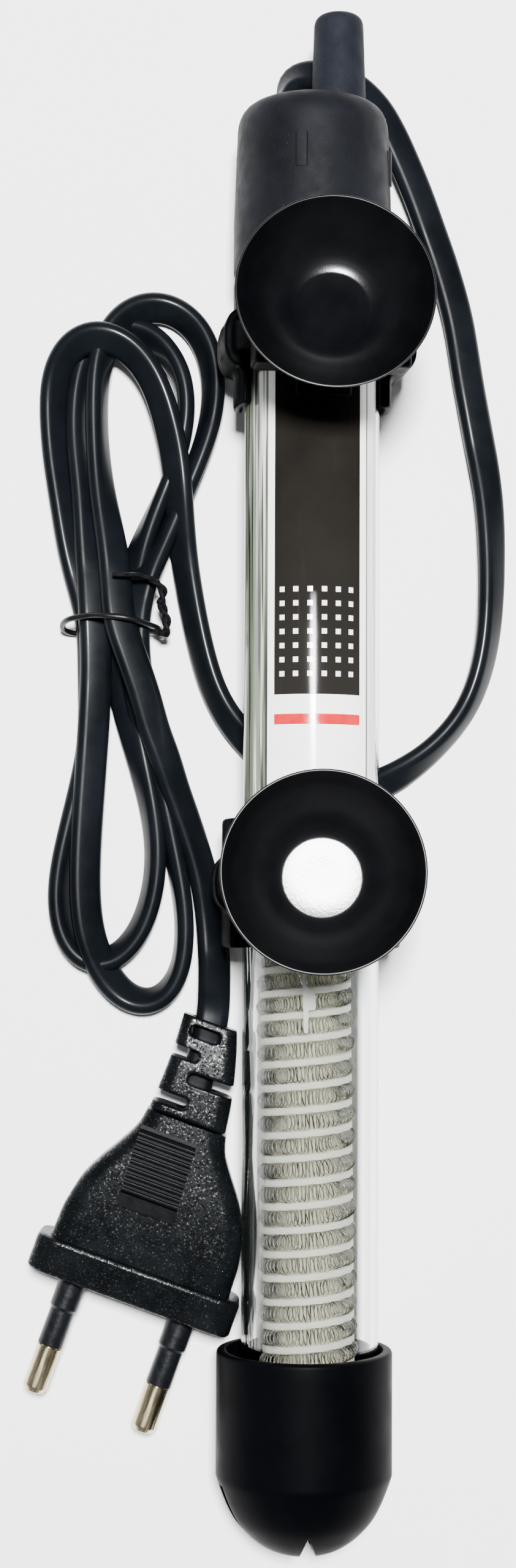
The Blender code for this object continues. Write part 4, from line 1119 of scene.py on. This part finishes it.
def plug_material():
    """Grained black PVC with small bright glints on its grain."""
    mat, tree, shader = new_material("plug_pvc")
    where = coordinates(tree)
    dark, light = (0.0014, 0.0018, 0.0022), (0.003, 0.0038, 0.0043)
    looks = {
        "Base Color": mottled(tree, noise(tree, where, 6.0), dark, light),
        "Roughness": uneven(tree, noise(tree, where, 1.5), 0.2, 0.3),
        "Specular IOR Level": spread(tree, noise(tree, where, 0.36, detail=1.0), 0.6, 0.7, 0.024, 0.26),
    }
    feed(tree, shader, looks)
    bump(tree, shader, spread(tree, noise(tree, where, 0.42, detail=1.0), 0.58, 0.68), 0.08)
    return mat


def make_plug():
    """A flat two-pin plug: a flange at its face and a body that narrows to the relief."""
    mat = plug_material()
    place = plug_place()
    flange = [
        (0.8, 16.7, 6.2, 3.2, 0), (0.95, 17.1, 6.6, 3.4, 0), (1.3, 17.35, 6.85, 3.6, 0),
        (1.5, 17.35, 6.85, 3.6, 0), (5.8, 17.35, 6.85, 3.6, 0), (6.0, 17.35, 6.85, 3.6, 0),
        (6.4, 17.15, 6.7, 3.5, 0), (6.6, 16.8, 6.4, 3.4, 0), (6.65, 15.6, 6.2, 3.2, 0),
        (6.75, 15.35, 6.1, 3.2, 0),
    ]
    waist = (
        (7.2, 15.3, 6.1, 3.2, 0), (9.5, 15.2, 6.05, 3.2, 0), (12.4, 15.0, 6.0, 3.2, 0),
        (17.2, 13.9, 5.8, 3.2, 0), (21.0, 12.0, 5.6, 3.2, -0.1), (24.5, 9.7, 5.4, 3.2, -0.3),
        (28.0, 7.6, 5.2, 3.2, -0.6), (31.0, 6.8, 5.0, 3.2, -0.8),
    )
    stations = flange + [tuple(p) for p in smooth_line(waist, 0.8)]
    body = loft("plug_housing", stations, mat, place)
    bore = [(0, -2), (2.6, -2), (2.6, 9), (0, 9)]
    holes = [lathe(f"hole_{side}", bore, mat, pin_place(side), 48) for side in (-1, 1)]
    combine(body, holes, "DIFFERENCE")
    crease(body.data, 35)
    fasten(body, "plug_pvc", "plug_body")
    grip = make_plug_grip(place)
    relief = make_relief(mat, place)
    return [body, grip, relief, *make_pins()]


def make_plug_grip(place):
    """A raised panel on the plug with a row of cross ribs."""
    ribs, pitch, level = 9, 1.15, 6.7
    first, last = 15.2, 28.6
    side = [(first, 5.2), (first, 6.75), (17.3, level)]
    for i in range(ribs):
        start, top = 17.5 + pitch * i, level - 0.03 * i
        foot = top - 0.75
        rib = ((start, foot, 0), (start + 0.08, top, 0.1), (start + 0.62, top, 0.1), (start + 0.7, foot, 0))
        side += rounded(rib, steps=3)
    side += [(27.95, 5.8), (27.95, 6.4), (last, 6.35), (last, 4.8)]
    count = len(side)
    lean = math.tan(math.radians(-3.0))
    verts = [(x + lean * (y - first), y, z) for x in (-6.9, 2.7) for y, z in side]
    faces = [list(range(count)), list(range(2 * count - 1, count - 1, -1))]
    for i in range(count):
        j = (i + 1) % count
        faces.append([i, count + i, count + j, j])
    satin = moulded(
        "plug_grip_pvc", (0.001, 0.0012, 0.0015), (0.002, 0.0025, 0.0028), (0.26, 0.36), 3.0, specular=0.024
    )
    return fasten(new_object("plug_grip", verts, faces, satin, place, smooth=30.0), "plug_pvc")


def make_relief(mat, place):
    """The tapered strain relief, with slots cut in from its two sides by turns."""
    stations = (
        (31.3, 6.6, 4.6, 2.6, -0.8), (36.0, 6.1, 4.3, 2.4, -1.0), (40.0, 5.6, 4.0, 2.2, -1.4),
        (44.0, 5.1, 3.6, 2.0, -2.0), (47.6, 4.6, 3.2, 1.8, -2.7),
    )
    relief = loft("plug_relief", [tuple(s) for s in smooth_line(stations, 0.8)], mat, place)
    slots = ((-5.3, -0.3, 45.4), (-12.0, -2.6, 41.5), (-3.0, 12.0, 38.0), (-12.0, -1.6, 33.7))
    cuts = []
    for i, (left, right, along) in enumerate(slots):
        low, high = (left, along - 0.95, -9), (right, along + 0.95, 9)
        cuts.append(block(f"cut_{i}", low, high, mat, place, edge=0.9))
    channel = ((0.0, 32.0, 0), (-0.9, 36.0, 0), (-1.5, 40.0, 0), (-2.1, 44.0, 0), (-2.9, 49.0, 0))
    core = sweep("core", smooth_line(channel, 0.8), stadium(5.9, 3.3), mat)
    core.matrix_world = place
    combine(relief, [*cuts, core], "DIFFERENCE")
    soften(relief, 0.22, 3)
    return fasten(relief, "plug_pvc", "plug_strain_relief")


def pin_place(side):
    return plug_place() @ at(side * PIN_SPACING / 2) @ TO_HEAD


def make_pins():
    """Two round pins and the black sleeves round their roots."""
    nickel = pin_material()
    black = moulded(
        "pin_sleeve_plastic", (0.0018, 0.0023, 0.0032), (0.0036, 0.0044, 0.0058), (0.3, 0.45),
        3.0, 0.4, 0.03, specular=0.22,
    )
    tip = (
        (0, PIN_TIP, 0), (1.55, PIN_TIP, 0.4), (2.0, PIN_TIP + 0.9, 0.6), (2.0, -11.0, 0),
        (1.35, -11.0, 0), (1.35, 8, 0), (0, 8, 0),
    )
    cover = (
        (1.6, -10.8, 0), (2.08, -10.8, 0.15), (2.02, -4.7, 0.2), (2.3, -4.2, 0.25),
        (2.35, 0.2, 0.2), (2.3, 7.6, 0.0), (1.6, 7.6, 0),
    )
    made = []
    for side, name in ((-1, "left"), (1, "right")):
        pin = lathe(f"pin_{name}", rounded(tip, steps=6), nickel, pin_place(side), 64)
        sleeve = lathe(f"sleeve_{name}", rounded(cover, steps=4), black, pin_place(side), 64)
        made.append(fasten(pin, "pin_nickel", f"plug_pin_{name}"))
        made.append(fasten(sleeve, "pin_sleeve_plastic", f"pin_sleeve_{name}"))
    return made


def pin_material():
    """Nickel plate with a warm cast and fine lines along the pin."""
    mat, tree, shader = new_material("pin_nickel")
    lines = noise(tree, coordinates(tree, (1, 1, 14)), 0.35)
    colour = blend_colours(tree, lines, (0.32, 0.26, 0.14), (0.84, 0.74, 0.5))
    rough = uneven(tree, lines, 0.16, 0.34)
    feed(tree, shader, {"Base Color": colour, "Metallic": 1.0, "Roughness": rough})
    bump(tree, shader, lines, 0.01)
    return mat


# ---- CAD pieces that stay, with their own materials ----


# Rows of node, material name, dark and light colour, gloss, mottle, grain and depth.
METAL_LOOKS = (
    ("knob_spindle", "spindle_brass",
     (0.55, 0.38, 0.16), (0.72, 0.52, 0.25), (0.2, 0.35), 2.0, 0.2, 0.004),
    ("adjuster_bush", "bush_brass",
     (0.5, 0.35, 0.14), (0.68, 0.5, 0.23), (0.25, 0.4), 2.0, 0.2, 0.004),
    ("contact_arm", "spring_bronze",
     (0.5, 0.27, 0.13), (0.72, 0.42, 0.22), (0.2, 0.36), 3.0, 0.25, 0.004),
    ("arm_pivot_pin", "pin_steel",
     (0.5, 0.5, 0.52), (0.7, 0.7, 0.72), (0.15, 0.3), 1.0, 0.15, 0.002),
    ("moving_contact", "contact_silver",
     (0.7, 0.69, 0.66), (0.85, 0.84, 0.81), (0.15, 0.3), 0.8, 0.15, 0.002),
    ("bimetal_contact", "contact_silver_2",
     (0.66, 0.65, 0.62), (0.82, 0.81, 0.78), (0.15, 0.3), 0.8, 0.15, 0.002),
    ("live_crimp", "crimp_tin",
     (0.5, 0.5, 0.51), (0.68, 0.68, 0.69), (0.25, 0.4), 1.5, 0.2, 0.006),
    ("neutral_crimp", "crimp_tin_2",
     (0.48, 0.48, 0.49), (0.66, 0.66, 0.67), (0.25, 0.4), 1.5, 0.2, 0.006),
)
PLAIN_LOOKS = (
    ("spindle_o_ring", "o_ring_rubber",
     (0.004, 0.004, 0.004), (0.01, 0.01, 0.01), (0.35, 0.5), 1.5, 0.2, 0.004),
    ("head_seal", "seal_rubber",
     (0.02, 0.02, 0.022), (0.035, 0.035, 0.038), (0.5, 0.65), 4.0, 0.3, 0.01),
    ("contact_post", "post_ceramic",
     (0.68, 0.66, 0.6), (0.8, 0.78, 0.72), (0.5, 0.65), 2.0, 0.3, 0.01),
    ("snap_magnet", "magnet_ferrite",
     (0.03, 0.028, 0.028), (0.06, 0.056, 0.055), (0.4, 0.6), 1.5, 0.2, 0.02),
    ("lamp_resistor", "resistor_body",
     (0.5, 0.4, 0.22), (0.64, 0.53, 0.31), (0.3, 0.45), 1.5, 0.25, 0.004),
    ("live_lead", "lead_brown",
     (0.12, 0.045, 0.018), (0.2, 0.08, 0.035), (0.3, 0.45), 3.0, 0.3, 0.004),
    ("neutral_lead", "lead_blue",
     (0.012, 0.045, 0.2), (0.025, 0.08, 0.3), (0.3, 0.45), 3.0, 0.3, 0.004),
    ("return_lead", "lead_glass_sleeve",
     (0.62, 0.61, 0.57), (0.78, 0.77, 0.73), (0.55, 0.75), 1.0, 0.25, 0.03),
    ("upper_disc", "mica",
     (0.55, 0.5, 0.38), (0.72, 0.67, 0.54), (0.35, 0.5), 2.5, 0.6, 0.02),
    ("lower_disc", "mica_2",
     (0.54, 0.49, 0.37), (0.7, 0.65, 0.52), (0.35, 0.5), 2.5, 0.6, 0.02),
)


def dress(name, mat):
    materials = frame["nodes"][name].data.materials
    materials.clear()
    materials.append(mat)


def dress_inner_pieces():
    """Gives the carried CAD pieces inside the heater their materials."""
    for name, *look in METAL_LOOKS:
        dress(name, moulded(*look, metallic=1.0))
    for name, *look in PLAIN_LOOKS:
        dress(name, moulded(*look))
    steel = moulded(
        "bracket_steel", (0.42, 0.43, 0.44), (0.6, 0.61, 0.62), (0.22, 0.4), 3.0, 0.3, 0.006,
        stretch=(12, 1, 1), metallic=1.0,
    )
    strip = moulded(
        "bimetal", (0.48, 0.42, 0.34), (0.68, 0.6, 0.5), (0.22, 0.36), 3.0, 0.3, 0.004,
        stretch=(1, 12, 1), metallic=1.0,
    )
    dress("thermostat_bracket", steel)
    dress("bimetal_strip", strip)
    dress("indicator_lamp", lamp_material())


def lamp_material():
    """A small neon lamp's glass, with an amber cast."""
    mat, tree, shader = new_material("lamp_glass")
    cloud = noise(tree, coordinates(tree), 1.5)
    colour = blend_colours(tree, cloud, (0.85, 0.32, 0.12), (0.98, 0.6, 0.35))
    feed(tree, shader, {"Base Color": colour, "Roughness": 0.08, "Transmission Weight": 0.6})
    bump(tree, shader, cloud, 0.02)
    return mat


# ---- floor and light ----


def make_stage():
    """A wide floor of pale paper."""
    mat, tree, shader = new_material("floor_paper")
    cloud = noise(tree, coordinates(tree), 60.0)
    colour = blend_colours(tree, cloud, (0.88, 0.88, 0.88), (0.92, 0.92, 0.92))
    feed(tree, shader, {"Base Color": colour, "Roughness": 0.9})
    sides = ((-1, -1), (1, -1), (1, 1), (-1, 1))
    corners = [(FLOOR_HALF * x, FLOOR_HALF * y, 0) for x, y in sides]
    new_object("floor", corners, [[0, 1, 2, 3]], mat)


def make_lamp():
    """One soft square lamp above the head."""
    data = bpy.data.lights.new("key", "AREA")
    data.shape = "RECTANGLE"
    data.size, data.size_y = LAMP_SIZE * MM, LAMP_SIZE * MM
    data.energy = LAMP_POWER
    light = bpy.data.objects.new("key", data)
    bpy.context.scene.collection.objects.link(light)
    place = Vector(LAMP_PLACE) * MM
    aim = (Vector(LAMP_TARGET) * MM - place).to_track_quat("-Z", "Y")
    light.matrix_world = Matrix.Translation(place) @ aim.to_matrix().to_4x4()


def make_room():
    """Light from all round, pale low down and dark overhead."""
    world = bpy.data.worlds.new("room")
    bpy.context.scene.world = world
    world.use_nodes = True
    tree = world.node_tree
    height = one_axis(tree, node(tree, "ShaderNodeTexCoord").outputs["Generated"], "Z")
    strength = spread(tree, height, 0.0, 0.75, 0.45, 0.12)
    feed(tree, tree.nodes["Background"], {"Color": (0.97, 0.985, 1.0, 1.0), "Strength": strength})


# ---- all together ----


def main():
    make_camera()
    plug_pieces = make_plug()
    make_cord()
    make_tie()
    make_glass()
    make_label()
    make_head()
    make_gland()
    make_knob()
    make_guard()
    for side in ("upper", "lower"):
        make_clip(side)
        make_cup(side)
    make_former()
    make_spring()
    make_end_tab()
    dress_inner_pieces()
    make_stage()
    make_lamp()
    make_room()


main()
